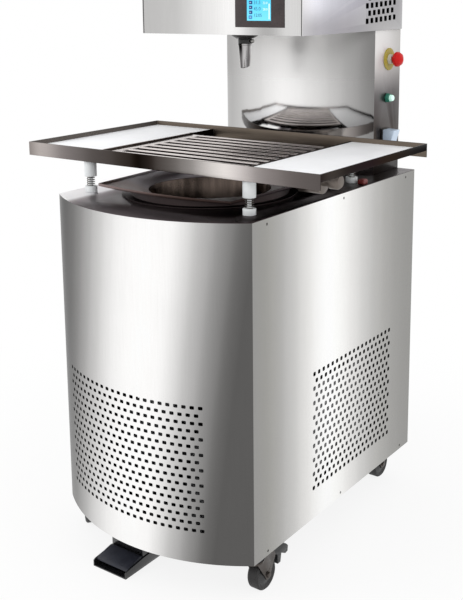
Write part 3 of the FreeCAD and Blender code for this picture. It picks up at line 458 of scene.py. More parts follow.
LEAN_HEIGHT = 0.86
LEAN_SPAN = (-0.27, -0.09)
# Painted reflection: the room mirrored in the cabinet's polished sheet is painted as shades across the front
# and along the sides, with painted shades for its top and underside.
CABINET_FRONT_REFLECTION = [(-0.296, 118), (-0.26, 116), (-0.22, 128), (-0.18, 142), (-0.14, 164), (-0.10, 190),
                 (-0.06, 216), (-0.02, 240), (0.03, 253), (0.10, 254), (0.14, 244), (0.18, 206),
                 (0.22, 166), (0.26, 122), (0.296, 92)]
CABINET_SIDE_REFLECTION = [(-0.348, (149, 148, 146)), (-0.28, (160, 159, 155)), (-0.22, (182, 181, 179)),
                (-0.16, (209, 208, 206)), (-0.10, (236, 235, 233)), (-0.04, (253, 253, 252)),
                (0.02, (253, 253, 251)), (0.08, (238, 237, 235)), (0.14, (216, 215, 213)),
                (0.20, (193, 192, 190)), (0.26, (175, 174, 171)), (0.32, (159, 158, 155)),
                (0.38, (148, 147, 144)), (0.448, (142, 141, 138))]
rolled_steel = sheet_with_painted_reflection("rolled_steel", CABINET_FRONT_REFLECTION, CABINET_SIDE_REFLECTION, (170, 168, 166), (120, 118, 116),
                              lean=(0.20, 0.107), rim=0.5)
cabinet_steel = sheet_with_painted_reflection("cabinet_steel", CABINET_FRONT_REFLECTION, CABINET_SIDE_REFLECTION, (170, 168, 166), (120, 118, 116))


def perforation(hole, pitch, row_pitch):
    """One flat cell of sheet round a punched hole, in the XZ plane and facing forwards.

    hole is its half width, its half height and how square it is: 1 is round, lower is squarer.
    """
    def bent(value):
        return math.copysign(abs(value) ** hole[2], value)
    across, up = pitch / 2, row_pitch / 2
    corners = [(across, 0), (across, up), (0, up), (-across, up), (-across, 0), (-across, -up), (0, -up),
               (across, -up)]
    rim = [(hole[0] * bent(math.cos(math.pi * i / 8)), hole[1] * bent(math.sin(math.pi * i / 8)))
           for i in range(16)]
    faces = [(i, (i + 1) % 8, 8 + (2 * i + 2) % 16, 8 + 2 * i + 1, 8 + 2 * i) for i in range(8)]
    mesh = bpy.data.meshes.new("punched_cell")
    mesh.from_pydata([(x, 0, z) for x, z in corners + rim], [], faces)
    return mesh


# Staggered rows of punched cells: every second row has one hole fewer and sits half a pitch in.
punched_rows, entry, leave = new_group(
    "punched_rows", "GeometryNodeTree",
    [("Geometry", "Geometry", None), ("Columns", "Int", 19), ("Rows", "Int", 17), ("Pitch", "Float", 0.022),
     ("Row Pitch", "Float", 0.019), ("Material", "Material", None)], [("Geometry", "Geometry")])


def sums(operation, first, second):
    """One sum in the punched_rows tree."""
    return worked(punched_rows, operation, first, second)


def settled(tree, instances, entry, leave, weld=None):
    """End a Geometry Nodes tree: its instances made real, welded if asked, and given its material."""
    real = put(tree, "GeometryNodeRealizeInstances", {"Geometry": instances}).outputs[0]
    if weld:
        real = put(tree, "GeometryNodeMergeByDistance", {"Geometry": real, "Distance": weld}).outputs[0]
    coloured = put(tree, "GeometryNodeSetMaterial", {"Geometry": real, "Material": entry["Material"]})
    tree.links.new(coloured.outputs[0], leave["Geometry"])


columns, rows = entry["Columns"], entry["Rows"]
index = put(punched_rows, "GeometryNodeInputIndex").outputs[0]
column = sums("MODULO", index, columns)
row = sums("FLOOR", sums("DIVIDE", index, columns), 0.0)
odd = sums("MODULO", row, 2.0)
middle = sums("DIVIDE", sums("SUBTRACT", columns, 1.0), 2.0)
stagger = sums("MULTIPLY", odd, 0.5)
along = sums("MULTIPLY", sums("ADD", sums("SUBTRACT", column, middle), stagger), entry["Pitch"])
centre_row = sums("DIVIDE", sums("SUBTRACT", rows, 1.0), 2.0)
height = sums("MULTIPLY", sums("SUBTRACT", row, centre_row), entry["Row Pitch"])
spots = put(punched_rows, "ShaderNodeCombineXYZ", {"X": along, "Z": height})
points = put(punched_rows, "GeometryNodePoints",
             {"Count": sums("MULTIPLY", columns, rows), "Position": spots.outputs[0]})
last = sums("MULTIPLY", odd, sums("COMPARE", column, sums("SUBTRACT", columns, 1.0)))
kept = put(punched_rows, "GeometryNodeDeleteGeometry", {"Geometry": points.outputs[0], "Selection": last},
           domain="POINT")
cells = put(punched_rows, "GeometryNodeInstanceOnPoints",
            {"Points": kept.outputs[0], "Instance": entry["Geometry"]})
settled(punched_rows, cells.outputs[0], entry, leave, weld=0.00002)


def grown(mesh, group, **inputs):
    """Run a Geometry Nodes group on a mesh and return the plain result."""
    thing = in_scene(mesh.name, mesh)
    nodes = thing.modifiers.new("grow", "NODES")
    nodes.node_group = group
    sockets = {item.name: item.identifier for item in group.interface.items_tree
               if item.item_type == "SOCKET" and item.in_out == "INPUT"}
    for key, value in inputs.items():
        nodes[sockets[key.replace("_", " ")]] = value
    thing.update_tag()
    bpy.context.view_layer.update()
    return plain_mesh(thing)


def punched_panel(name, node, material, low, high, middle, columns, rows, pitch, row_pitch, hole, shape):
    """A sheet with a punched field, and its inside painted dark as shade.

    low, high and middle are (across, up) on the flat sheet, and shape maps that sheet to its place.
    """
    field = grown(perforation(hole, pitch, row_pitch), punched_rows, Columns=columns, Rows=rows,
                  Pitch=pitch, Row_Pitch=row_pitch, Material=material)
    half_wide, half_high = columns * pitch / 2, rows * row_pitch / 2
    grid = bmesh.new()
    grid.from_mesh(field)
    for vertex in grid.verts:
        vertex.co.x += middle[0]
        vertex.co.z += middle[1]
    field_left, field_right = middle[0] - half_wide, middle[0] + half_wide
    steps = max(2, round((field_left - low[0]) / PLAIN_STEP))
    left = [low[0] + (field_left - low[0]) * i / steps for i in range(steps)]
    steps = max(2, round((high[0] - field_right) / PLAIN_STEP))
    right = [high[0] - (high[0] - field_right) * i / steps for i in range(steps)][::-1]
    xs = left + [field_left + pitch / 2 * i for i in range(2 * columns + 1)] + right
    zs = [low[1]] + [middle[1] - half_high + row_pitch * i for i in range(rows + 1)] + [high[1]]
    first = len(left)
    for i in range(len(xs) - 1):
        for j in range(len(zs) - 1):
            inside = first <= i < first + 2 * columns and 1 <= j <= rows
            row_end = j % 2 == 0 and i in (first, first + 2 * columns - 1)
            if inside and not row_end:
                continue
            corners = [(xs[i], zs[j]), (xs[i + 1], zs[j]), (xs[i + 1], zs[j + 1]), (xs[i], zs[j + 1])]
            grid.faces.new([grid.verts.new((x, 0, z)) for x, z in corners])
    bmesh.ops.remove_doubles(grid, verts=grid.verts, dist=0.00003)
    for vertex in grid.verts:
        vertex.co = shape(vertex.co)
    bmesh.ops.recalc_face_normals(grid, faces=grid.faces)
    mesh = made_mesh(name, grid)
    centre = (low[0] + high[0]) / 2
    outwards = shape(Vector((centre, -0.01, middle[1]))) - shape(Vector((centre, 0, middle[1])))
    if sum(outwards.dot(polygon.normal) * polygon.area for polygon in mesh.polygons) < 0:
        mesh.flip_normals()
    mesh.materials.append(material)
    mesh.materials.append(unlit_inside)
    mesh.polygons.foreach_set("material_index", [0] * len(mesh.polygons))
    piece = in_scene(name, mesh)
    wall = piece.modifiers.new("sheet_thickness", "SOLIDIFY")
    wall.thickness = SHEET
    wall.offset = -1.0
    wall.material_offset = 1
    mesh = plain_mesh(piece)
    soft_edges(mesh, 30)
    piece = in_scene(name, mesh)
    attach(piece, "cabinet")
    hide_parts(node)
    return piece


# Painted shade: the insides of the sheets, which get no light, are given a near-black finish.
unlit_inside = marked_finish("unlit_inside", (24, 23, 23), (0.5, 0.7), metallic=0.6, cloud=12.0)
SHEET = 0.0015
PLAIN_STEP = 0.012
FRONT_RADIUS = 0.488
FRONT_HOLE = (0.0055, 0.0043, 0.45)
SIDE_HOLE = (0.0058, 0.0056, 0.6)
FRONT_PITCH, SIDE_PITCH, ROW_PITCH = 0.0200, 0.0220, 0.0190
FRONT_COLUMNS, SIDE_COLUMNS, ROWS = 23, 19, 17
FRONT_MIDDLE, SIDE_MIDDLE = (-0.023, 0.3395), (0.1145, 0.3395)
front_low, front_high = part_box("front_panel")
arc_centre_y = front_low.y + FRONT_RADIUS
arc_half = FRONT_RADIUS * math.asin(front_high.x / FRONT_RADIUS)


def rolled(flat):
    """Roll the flat front sheet round its upright axis."""
    angle = flat.x / FRONT_RADIUS
    radius = FRONT_RADIUS - flat.y
    return Vector((radius * math.sin(angle), arc_centre_y - radius * math.cos(angle), flat.z))


punched_panel("rolled_front_panel", "front_panel", rolled_steel, (-arc_half, front_low.z),
              (arc_half, front_high.z), FRONT_MIDDLE, FRONT_COLUMNS, ROWS, FRONT_PITCH, ROW_PITCH,
              FRONT_HOLE, rolled)
for side, node in ((1, "right_side_panel"), (-1, "left_side_panel")):
    low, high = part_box(node)
    outer = high.x if side > 0 else low.x

    def upright(flat, side=side, outer=outer):
        """Stand the flat side sheet along the cabinet's side."""
        return Vector((outer - side * flat.y, flat.x, flat.z))
    punched_panel(node.replace("_panel", "") + "_sheet", node, cabinet_steel, (low.y, low.z),
                  (high.y, high.z), SIDE_MIDDLE, SIDE_COLUMNS, ROWS, SIDE_PITCH, ROW_PITCH, SIDE_HOLE,
                  upright)

# The rear panel's shades are painted reflection as well.
rear_steel = sheet_with_painted_reflection("rear_steel", [(-0.296, 150), (-0.1, 196), (0.05, 214), (0.296, 158)],
                            [(-0.3, 170), (0.0, 180), (0.448, 170)], (150, 150, 148), (120, 118, 116),
                            marks=0.06, roughness=(0.22, 0.34))
finished("rear_panel", rear_steel, edge=0.0004)


def skinned(shape, rings):
    """Join rings of points into one closed skin with both its ends capped."""
    made = [[shape.verts.new(spot) for spot in ring] for ring in rings]
    for near, far in zip(made, made[1:]):
        for i in range(len(near)):
            j = (i + 1) % len(near)
            shape.faces.new((near[i], near[j], far[j], far[i]))
    shape.faces.new(made[0][::-1])
    shape.faces.new(made[-1])


def coated_mesh(name, shape, material):
    """A mesh of one material from closed skins, with their faces turned outwards."""
    bmesh.ops.recalc_face_normals(shape, faces=shape.faces)
    mesh = made_mesh(name, shape)
    mesh.materials.append(material)
    return mesh


def added(name, mesh, body="cabinet"):
    """A small piece that only the scene has, riding on a body."""
    piece = in_scene(name, mesh)
    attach(piece, body)
    return piece


# Each air slot of the rear panel has a pressed hood behind it, open downwards, so that no light
# falls straight through. Its profile is (depth behind the panel, height from the slot's middle).
REAR_SLOTS, REAR_FIRST_Z, REAR_PITCH = 6, 0.200, 0.032
HOOD_X, HOOD_HALF_WIDTH, HOOD_GAP = 0.130, 0.072, 0.0003
HOOD_PROFILE = [(0, 0.0105), (0.008, 0.004), (0.008, -0.004), (0.0072, -0.004), (0.0072, 0.0036), (0, 0.0097)]
inside_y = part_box("rear_panel")[1].y - SHEET - HOOD_GAP
hood_shape = bmesh.new()
for side in (-1, 1):
    for row in range(REAR_SLOTS):
        slot_z = REAR_FIRST_Z + REAR_PITCH * row
        ends = (side * HOOD_X - HOOD_HALF_WIDTH, side * HOOD_X + HOOD_HALF_WIDTH)
        skinned(hood_shape, [[(x, inside_y - depth, slot_z + rise) for depth, rise in HOOD_PROFILE]
                             for x in ends])
added("rear_slot_hoods", coated_mesh("rear_slot_hoods", hood_shape, rear_steel))

# Countersunk cross-head screws hold the side sheets to the frame, three above and three below.
screw_heads, entry, leave = new_group(
    "screw_heads", "GeometryNodeTree",
    [("Geometry", "Geometry", None), ("Radius", "Float", 0.004), ("Height", "Float", 0.0016),
     ("Facing", "Vector", None), ("Material", "Material", None)], [("Geometry", "Geometry")])


def scaled(value, share):
    """A share of one of the screw's sizes."""
    return worked(screw_heads, "MULTIPLY", value, share)


radius, height = entry["Radius"], entry["Height"]
dome = put(screw_heads, "GeometryNodeMeshCone",
           {"Vertices": 20, "Radius Top": scaled(radius, 0.62), "Radius Bottom": radius, "Depth": height})
cross = put(screw_heads, "GeometryNodeMeshBoolean", {"Mesh 1": dome.outputs[0]}, operation="DIFFERENCE")
for long, short in ((1.15, 0.26), (0.26, 1.15)):
    size = put(screw_heads, "ShaderNodeCombineXYZ",
               {"X": scaled(radius, long), "Y": scaled(radius, short), "Z": scaled(height, 1.2)})
    bar = put(screw_heads, "GeometryNodeMeshCube", {"Size": size.outputs[0]})
    lift = put(screw_heads, "ShaderNodeCombineXYZ", {"Z": scaled(height, 1.1)})
    slot_bar = put(screw_heads, "GeometryNodeTransform",
                   {"Geometry": bar.outputs[0], "Translation": lift.outputs[0]})
    screw_heads.links.new(slot_bar.outputs[0], cross.inputs["Mesh 2"])
driven = put(screw_heads, "GeometryNodeInstanceOnPoints",
             {"Points": entry["Geometry"], "Instance": cross.outputs[0], "Rotation": entry["Facing"]})
settled(screw_heads, driven.outputs[0], entry, leave)

bright_screw = marked_finish("bright_screw", (176, 175, 172), (0.22, 0.34), metallic=1.0, cloud=90.0)


def screws(name, body, places, facing, radius=0.0038, height=0.0016, material=bright_screw):
    """Screw heads at these places, all turned the same way."""
    spots = bpy.data.meshes.new(name)
    spots.from_pydata(places, [], [])
    mesh = grown(spots, screw_heads, Radius=radius, Height=height, Facing=facing, Material=material)
    soft_edges(mesh, 30)
    return added(name, mesh, body)


# The side screws are given a dark finish as painted shade for the recesses round them.
recess_shade_screw = marked_finish("recess_shade_screw", (58, 56, 54), (0.3, 0.45), metallic=1.0, marks=0.2, cloud=90.0)
QUARTER = math.pi / 2
SIDE_SCREW_X, REAR_SCREW_Y = 0.2955, 0.4465
for side, label in ((1, "right"), (-1, "left")):
    screws("side_sheet_screws_" + label, "cabinet",
           [(side * SIDE_SCREW_X, y, z) for z in (0.116, 0.911) for y in (-0.290, 0.052, 0.394)],
           (0, side * QUARTER, 0), radius=0.0042, height=0.0009, material=recess_shade_screw)
screws("rear_panel_screws", "cabinet",
       [(x, REAR_SCREW_Y, z) for x in (-0.28, 0, 0.28) for z in (0.12, 0.905)],
       (-QUARTER, 0, 0), height=0.0009)


# ---- deck and tank ---------------------------------------------------
# The deck is mirror-polished sheet laid on the frame; the drawn tank hangs in it by its
# shoulder under a loose cover, with the anchor stirrer inside.

# Painted reflection on the mirror-polished deck: shades by Y times shades by X, with a painted highlight at
# the left front corner and darker painted reflection further right.
DECK_BACK_REFLECTION = [(-0.45, (255, 255, 255)), (-0.26, (236, 232, 234)), (-0.10, (214, 206, 208)),
             (0.03, (255, 255, 255)), (0.12, (255, 255, 255)), (0.21, (196, 190, 188)),
             (0.448, (255, 255, 255))]
DECK_ACROSS_REFLECTION = [(-0.296, (255, 255, 255)), (-0.225, (255, 255, 255)), (-0.20, (160, 152, 154)),
               (-0.15, (96, 88, 90)), (-0.08, (84, 74, 77)), (0.08, (70, 60, 63)), (0.296, (66, 56, 58))]


def flat_sheet_with_painted_reflection(name, across, back, marks, roughness):
    """Polished sheet lying flat, whose painted reflection shade is a run by X times a run by Y, in metres."""
    material, tree = blank_material(name)
    place = place_on(tree)
    parts = axes_of(tree, place)
    toned = multiplied(tree, painted_reflection_bands(tree, parts["X"], across), painted_reflection_bands(tree, parts["Y"], back))
    skin = marked(tree, place, toned, marks, roughness)
    ended(tree, Base_Color=skin["Colour"], Roughness=skin["Roughness"], Metallic=1.0)
    return material


deck_steel = flat_sheet_with_painted_reflection("deck_steel", DECK_ACROSS_REFLECTION, DECK_BACK_REFLECTION, 0.05, (0.26, 0.36))
finished("deck_plate", deck_steel, edge=0.0004)
tank_steel = marked_finish("tank_steel", (116, 103, 95), (0.14, 0.3), metallic=1.0, marks=0.6,
                           grain=(90, 90, 4), cloud=16.0)
bowl = finished("tank_bowl", tank_steel, edge=0.0005)
shaded_steel = marked_finish("shaded_steel", (62, 54, 54), (0.36, 0.5), metallic=1.0, marks=0.12,
                             cloud=14.0)
BOWL_SHOULDER = 0.012
bowl_low, bowl_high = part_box("tank_bowl")
bowl_middle = (bowl_low + bowl_high) / 2


def out_of_the_bowl(polygon):
    """The bowl's outside and its shoulder, which see only the dark under the cover and take a darker steel as
    painted shade.
    """
    outwards = (polygon.center - bowl_middle).to_2d().dot(polygon.normal.to_2d()) > 0
    return outwards or polygon.center.z > bowl_high.z - BOWL_SHOULDER or polygon.normal.z < -0.3


refinished(bowl, shaded_steel, out_of_the_bowl)
# Painted reflection and shade on the tank cover: lighter on the left flank, darker towards the right.
COVER_ACROSS_REFLECTION = [(-0.23, (170, 163, 168)), (-0.10, (158, 150, 154)), (0.02, (112, 102, 102)),
                (0.23, (62, 54, 56))]
COVER_BACK_REFLECTION = [(-0.31, (214, 198, 188)), (-0.24, (220, 204, 194)), (-0.19, (255, 255, 255)),
              (0.15, (226, 224, 228))]
cover_steel = flat_sheet_with_painted_reflection("cover_steel", COVER_ACROSS_REFLECTION, COVER_BACK_REFLECTION, 0.08, (0.32, 0.44))
finished("tank_cover", cover_steel, edge=0.0005)
finished("tank_stirrer", tank_steel, edge=0.0006)
bronze = marked_finish("bronze_bush", (168, 130, 78), (0.3, 0.45), metallic=1.0, marks=0.15, cloud=60.0)
finished("shaft_bushes", bronze, edge=0.0003)
silicone = marked_finish("silicone_heater", (176, 84, 44), (0.5, 0.65), grain=300, cloud=30.0, bump=0.3)
finished("tank_heater_band", silicone, edge=0.0003)
cast_grey = marked_finish("cast_grey", (128, 130, 133), (0.4, 0.6), metallic=0.3, marks=0.12, grain=450,
                          cloud=24.0, bump=0.35, depth=0.0002)
finished("stirrer_gearmotor", cast_grey, edge=0.0015)


# ---- tempering tube and auger ----------------------------------------
# The auger lifts chocolate up the cooled tube to the worm gearbox in the head, and a short
# heated channel leads it forward to the spout.

satin_steel = marked_finish("satin_steel", (186, 184, 180), (0.24, 0.38), metallic=1.0, marks=0.08,
                            cloud=12.0)
pipes = {node: finished(node, satin_steel, edge=0.0005)
         for node in ("tempering_tube", "auger_screw", "feed_pipe", "outlet_channel")}
closed_foam = marked_finish("closed_foam", (30, 30, 32), (0.7, 0.85), marks=0.2, grain=400, cloud=60.0,
                            bump=0.5, depth=0.0003)
deck_under_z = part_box("deck_plate")[0].z
for node in ("tempering_tube", "feed_pipe"):
    refinished(pipes[node], closed_foam, lambda polygon: polygon.center.z < deck_under_z)
finished("auger_gearmotor", cast_grey, edge=0.0015)


# ---- refrigeration and electrics -------------------------------------
# Behind the air holes: a hermetic compressor, a finned condenser with its fan, and the
# electrics box, all bolted to the floor pan.

black_enamel = marked_finish("black_enamel", (26, 26, 27), (0.22, 0.4), marks=0.2, grain=200, cloud=16.0,
                             bump=0.2, depth=0.0002)
fin_metal = marked_finish("fin_metal", (190, 190, 192), (0.3, 0.45), metallic=1.0, grain=(60, 900, 60),
                          cloud=30.0)
black_plastic = marked_finish("black_plastic", (22, 22, 23), (0.32, 0.5), marks=0.15, grain=900, bump=0.3)
finished("compressor", black_enamel, edge=0.001)
finished("condenser", fin_metal, edge=0.0004)
finished("fan_shroud", black_enamel, edge=0.0006)
finished("fan_rotor", black_plastic, edge=0.0004)
grey_paint = marked_finish("grey_paint", (120, 122, 126), (0.42, 0.58), marks=0.06, grain=500, cloud=20.0,
                           bump=0.25)
finished("electrics_box", grey_paint, edge=0.002)


# ---- column ----------------------------------------------------------
# One polished sheet folded right round the tempering tube, with a rolled front and its seam
# at the back, standing on the deck.

# Painted reflection on the column's polished sheet: shades across the front and along the sides, with painted
# shade that darkens the sides towards the bottom.
COLUMN_FRONT_REFLECTION = [(-0.244, 168), (-0.20, 178), (-0.14, 203), (-0.07, 222), (-0.02, 240), (0.02, 244),
                (0.07, 232), (0.13, 208), (0.17, 184), (0.21, 156), (0.244, 130)]
COLUMN_SIDE_REFLECTION = [(0.21, (246, 244, 242)), (0.34, (240, 238, 237)), (0.39, (228, 226, 225)),
               (0.4475, (212, 210, 208))]
COLUMN_SIDE_PAINTED_SHADE = [(0.925, (46, 40, 36)), (0.96, (52, 44, 40)), (1.02, (76, 68, 63)), (1.08, (88, 83, 82)),
                      (1.15, (132, 129, 130)), (1.20, (214, 212, 212)), (1.25, (250, 250, 250)),
                      (1.314, (255, 255, 255))]
column_steel = sheet_with_painted_reflection("column_steel", COLUMN_FRONT_REFLECTION, COLUMN_SIDE_REFLECTION, (170, 168, 166), (120, 118, 116),
                              marks=0.02, roughness=(0.07, 0.09), fading=COLUMN_SIDE_PAINTED_SHADE,
                              misting=(1.12, 1.22, 0.28), haze=0.30)
finished("column_shell", column_steel, edge=0.0006)


# ---- head ------------------------------------------------------------
# A folded cover with a pan-shaped front held off it by a thin shadow gap, a bottom plate and
# staggered rows of rounded square vents near the back of each side.

# Painted reflection on the head's polished sheet: shades across the front and along the sides, a darker
# painted band low on the sides, and painted shades on its top and underside.
HEAD_FRONT_REFLECTION = [(-0.2475, 191), (-0.18, 195), (-0.12, 203), (-0.07, 224), (0.0, 241), (0.045, 248),
              (0.08, 226), (0.12, 190), (0.16, 182), (0.20, 214), (0.2475, 214)]
HEAD_SIDE_REFLECTION = [(-0.0675, (238, 236, 239)), (-0.02, (242, 241, 248)), (0.02, (228, 227, 235)),
             (0.06, (212, 211, 219)), (0.10, (200, 199, 207)), (0.14, (190, 189, 197)),
             (0.20, (178, 176, 184)), (0.30, (166, 164, 168)), (0.4475, (166, 164, 167))]
HEAD_SIDE_LOW_REFLECTION = [(-0.0675, (200, 198, 201)), (-0.02, (186, 184, 188)), (0.02, (180, 178, 183)),
                 (0.06, (170, 168, 173)), (0.14, (164, 161, 166)), (0.20, (162, 160, 164)),
                 (0.26, (166, 164, 166)), (0.32, (172, 170, 171)), (0.4475, (174, 173, 174))]
head_steel = sheet_with_painted_reflection("head_steel", HEAD_FRONT_REFLECTION, HEAD_SIDE_REFLECTION, (196, 195, 194), (228, 227, 226),
                            roughness=(0.10, 0.2), footing=(1.325, 1.40, HEAD_SIDE_LOW_REFLECTION))
VENT_MIDDLE_Y, VENT_FIRST_Z, VENT_PITCH, VENT_ROW_PITCH, VENT_SLOPE = 0.324, 1.340, 0.0254, 0.0197, 0.049
VENT_HALF_Y, VENT_HALF_Z, VENT_CORNER = 0.0078, 0.0069, 0.0024
VENT_ROWS, VENT_COLUMNS = 5, 7
PIN_ENDS = (0.235, 0.255)
HEAD_SHEET = 0.002


def rounded(x, z, half_x, half_z, corner, steps=4):
    """Ring of a rounded rectangle centred on x, z, anticlockwise."""
    ring = []
    for quarter, (sx, sz) in enumerate(((1, 1), (-1, 1), (-1, -1), (1, -1))):
        for i in range(steps + 1):
            angle = math.pi / 2 * (quarter + i / steps)
            ring.append((x + sx * (half_x - corner) + corner * math.cos(angle),
                         z + sz * (half_z - corner) + corner * math.sin(angle)))
    return ring


def vent_punch():
    """Rounded square pins that open the vents of both sides to their full size."""
    pins = bmesh.new()
    for row in range(VENT_ROWS):
        count = VENT_COLUMNS - row % 2
        for i in range(count):
            along = VENT_PITCH * (i - (count - 1) / 2)
            z = VENT_FIRST_Z + VENT_ROW_PITCH * row + VENT_SLOPE * (along + 3 * VENT_PITCH)
            ring = rounded(VENT_MIDDLE_Y + along, z, VENT_HALF_Y, VENT_HALF_Z, VENT_CORNER, steps=3)
            for side in (-1, 1):
                skinned(pins, [[(side * x, *spot) for spot in ring] for x in PIN_ENDS])
    bmesh.ops.recalc_face_normals(pins, faces=pins.faces)
    return made_mesh("vent_punch", pins)


head_low, head_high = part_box("head_shell")


def within_the_head(polygon):
    """The cover's inside faces, which get no light."""
    deep = head_high.x - abs(polygon.center.x) > 0.0003
    back_y, roof_z = head_high.y - HEAD_SHEET + 0.0002, head_high.z - HEAD_SHEET + 0.0002
    return (deep and head_low.y + 0.001 < polygon.center.y < back_y
            and head_low.z + 0.001 < polygon.center.z < roof_z)


shell = finished("head_shell", head_steel, edge=0.0008, cutter=vent_punch())
# Painted shade: the cover's inside faces are given the near-black finish of the sheets' insides.
refinished(shell, unlit_inside, within_the_head)
finished("head_front_panel", head_steel, edge=0.0008)
finished("head_bottom_plate", head_steel, edge=0.0004)


# ---- display ---------------------------------------------------------
# A glossy dark overlay with a lit liquid-crystal window: four small keys down its left and
# rows of figures beside them.

overlay_black = marked_finish("overlay_black", (52, 42, 42), (0.08, 0.16), marks=0.35, grain=300,
                              cloud=34.0, bump=0.05)
finished("display_bezel", overlay_black, edge=0.0008)
screen_low, screen_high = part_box("display_screen")
screen_lit, tree = blank_material("screen_lit")
place = place_on(tree)
parts = axes_of(tree, place)
backlight = put(tree, "ShaderNodeValToRGB", {"Fac": spread(tree, parts["Z"], screen_low.z, screen_high.z)})
backlight.color_ramp.elements[0].color = tint(112, 214, 240)
backlight.color_ramp.elements[1].color = tint(70, 190, 226)
lines = put(tree, "ShaderNodeTexWave", {"Vector": place, "Scale": 420.0, "Distortion": 0.0},
            wave_type="BANDS", bands_direction="Z")
lit = multiplied(tree, backlight.outputs["Color"], spread(tree, lines.outputs["Fac"], 0.0, 1.0, 0.93, 1.0))
ended(tree, Base_Color=lit, Roughness=0.12, Emission_Color=lit, Emission_Strength=0.32)
finished("display_screen", screen_lit, edge=0.0)


def inked(name, colour, strength=0.25):
    """Printed or lit ink: one colour, slightly uneven."""
    material, tree = blank_material(name)
    speck = put(tree, "ShaderNodeTexNoise", {"Vector": place_on(tree), "Scale": 900.0, "Detail": 2.0})
    uneven = spread(tree, speck.outputs["Fac"], 0.0, 1.0, 0.85, 1.15)
    shaded = multiplied(tree, tint(*colour)[:3], uneven)
    ended(tree, Base_Color=shaded, Roughness=0.3, Emission_Color=shaded, Emission_Strength=strength)
    return material


key_ink = inked("key_ink", (18, 62, 122))
faint_ink = inked("faint_ink", (58, 132, 184))
figure_ink = inked("figure_ink", (38, 104, 136))
pale_ink = inked("pale_ink", (212, 238, 246))
GLASS_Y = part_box("display_bezel")[0].y + 0.001
GLASS_LEFT, GLASS_RIGHT = 0.0895, 0.160
GLASS_LOW, GLASS_HIGH = 1.349, 1.401


PRINT_DEPTH, FIGURE_DEPTH = 0.0003, 0.00012
KEY_PITCH = 0.0117
KEY_X, KEY_SIZE = GLASS_LEFT + 0.0115, (0.0048, 0.0041, 0.0010)
LOW_KEY_X, LOW_KEY_SIZE = GLASS_LEFT + 0.0105, (0.0052, 0.0043, 0.0010)
KEY_MARK_SIZE = (0.0020, 0.0005, 0.0002)
LEVEL_BAR_SIZE = (0.0016, 0.0185, 0.0008)


def flat_piece(name, outlines, y, material):
    """Thin printed shapes standing just off a front face; outlines are rings of (x, z)."""
    shape = bmesh.new()
    for ring in outlines:
        skinned(shape, [[(x, level, z) for x, z in ring] for level in (y, y - PRINT_DEPTH)])
    return added(name, coated_mesh(name, shape, material))


key_rows = [GLASS_HIGH - 0.0085 - KEY_PITCH * i for i in range(4)]
flat_piece("display_keys", [rounded(KEY_X, z, *KEY_SIZE) for z in key_rows[:3]], GLASS_Y, key_ink)
flat_piece("display_low_key", [rounded(LOW_KEY_X, key_rows[3], *LOW_KEY_SIZE)], GLASS_Y, faint_ink)
flat_piece("display_key_marks", [rounded(LOW_KEY_X, z, *KEY_MARK_SIZE) for z in key_rows],
           GLASS_Y - PRINT_DEPTH, pale_ink)
flat_piece("display_level_bar",
           [rounded(GLASS_RIGHT - 0.0052, (GLASS_LOW + GLASS_HIGH) / 2 - 0.004, *LEVEL_BAR_SIZE)],
           GLASS_Y, pale_ink)


def figures(name, words, x, z, size, material, y):
    """Raised figures from a text curve, made mesh before they are stood up on a front face."""
    text = bpy.data.curves.new(name, "FONT")
    text.body = words
    text.size = size
    text.extrude = FIGURE_DEPTH
    text.resolution_u = 3
    thing = in_scene(name, text)
    bpy.context.view_layer.update()
    mesh = plain_mesh(thing)
    for vertex in mesh.vertices:
        vertex.co = (x + vertex.co.x, y - vertex.co.z - FIGURE_DEPTH, z + vertex.co.y)
    mesh.materials.clear()
    mesh.materials.append(material)
    return added(name, mesh)


for label, words, across, drop, size, ink in (("top", "31.5", 0.020, 0.0125, 0.0120, figure_ink),
                                              ("top_set", "32.0", 0.047, 0.0125, 0.0080, pale_ink),
                                              ("middle", "45.0", 0.020, 0.0275, 0.0120, figure_ink),
                                              ("middle_set", "28.0", 0.047, 0.0275, 0.0080, pale_ink),
                                              ("low", "12:05", 0.020, 0.0425, 0.0110, figure_ink)):
    figures("display_figures_" + label, words, GLASS_LEFT + across, GLASS_HIGH - drop, size, ink, GLASS_Y)


# ---- spout -----------------------------------------------------------
# A dark moulded flange and clamp collar under the head hold a tapered chromed tube whose end
# is cut at a slant; one small screw nips the collar.

dark_moulding = marked_finish("dark_moulding", (58, 56, 56), (0.28, 0.44), marks=0.2, grain=700, bump=0.25)
# Painted reflection on the chromed spout tube: shades by the way its surface turns, blended from its low end
# to its high end.
SPOUT_HIGH_REFLECTION = [(-1.0, (206, 204, 203)), (-0.90, (110, 108, 107)), (-0.84, (16, 15, 15)), (-0.50, (22, 21, 21)),
              (-0.38, (158, 156, 155)), (-0.05, (186, 184, 184)), (0.25, (166, 164, 164)),
              (0.42, (122, 120, 120)), (0.60, (116, 114, 114)), (0.74, (176, 174, 174)),
              (0.86, (255, 255, 255)), (1.0, (255, 255, 255))]
SPOUT_LOW_REFLECTION = [(-1.0, (190, 188, 187)), (-0.86, (120, 118, 117)), (-0.62, (112, 110, 110)),
             (-0.40, (176, 174, 174)), (-0.05, (196, 194, 194)), (0.28, (150, 148, 148)),
             (0.50, (110, 108, 108)), (0.74, (120, 118, 118)), (0.88, (190, 188, 188)),
             (1.0, (206, 204, 204))]
SPOUT_SIDEWAYS = (0.81, 0.587, 0.0)
chrome, tree = blank_material("chrome")
coordinates = put(tree, "ShaderNodeTexCoord").outputs
turned = put(tree, "ShaderNodeVectorMath", {0: coordinates["Normal"], 1: SPOUT_SIDEWAYS},
             operation="DOT_PRODUCT").outputs["Value"]
parts = axes_of(tree, coordinates["Object"])
spout_low, spout_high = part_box("spout_tube")
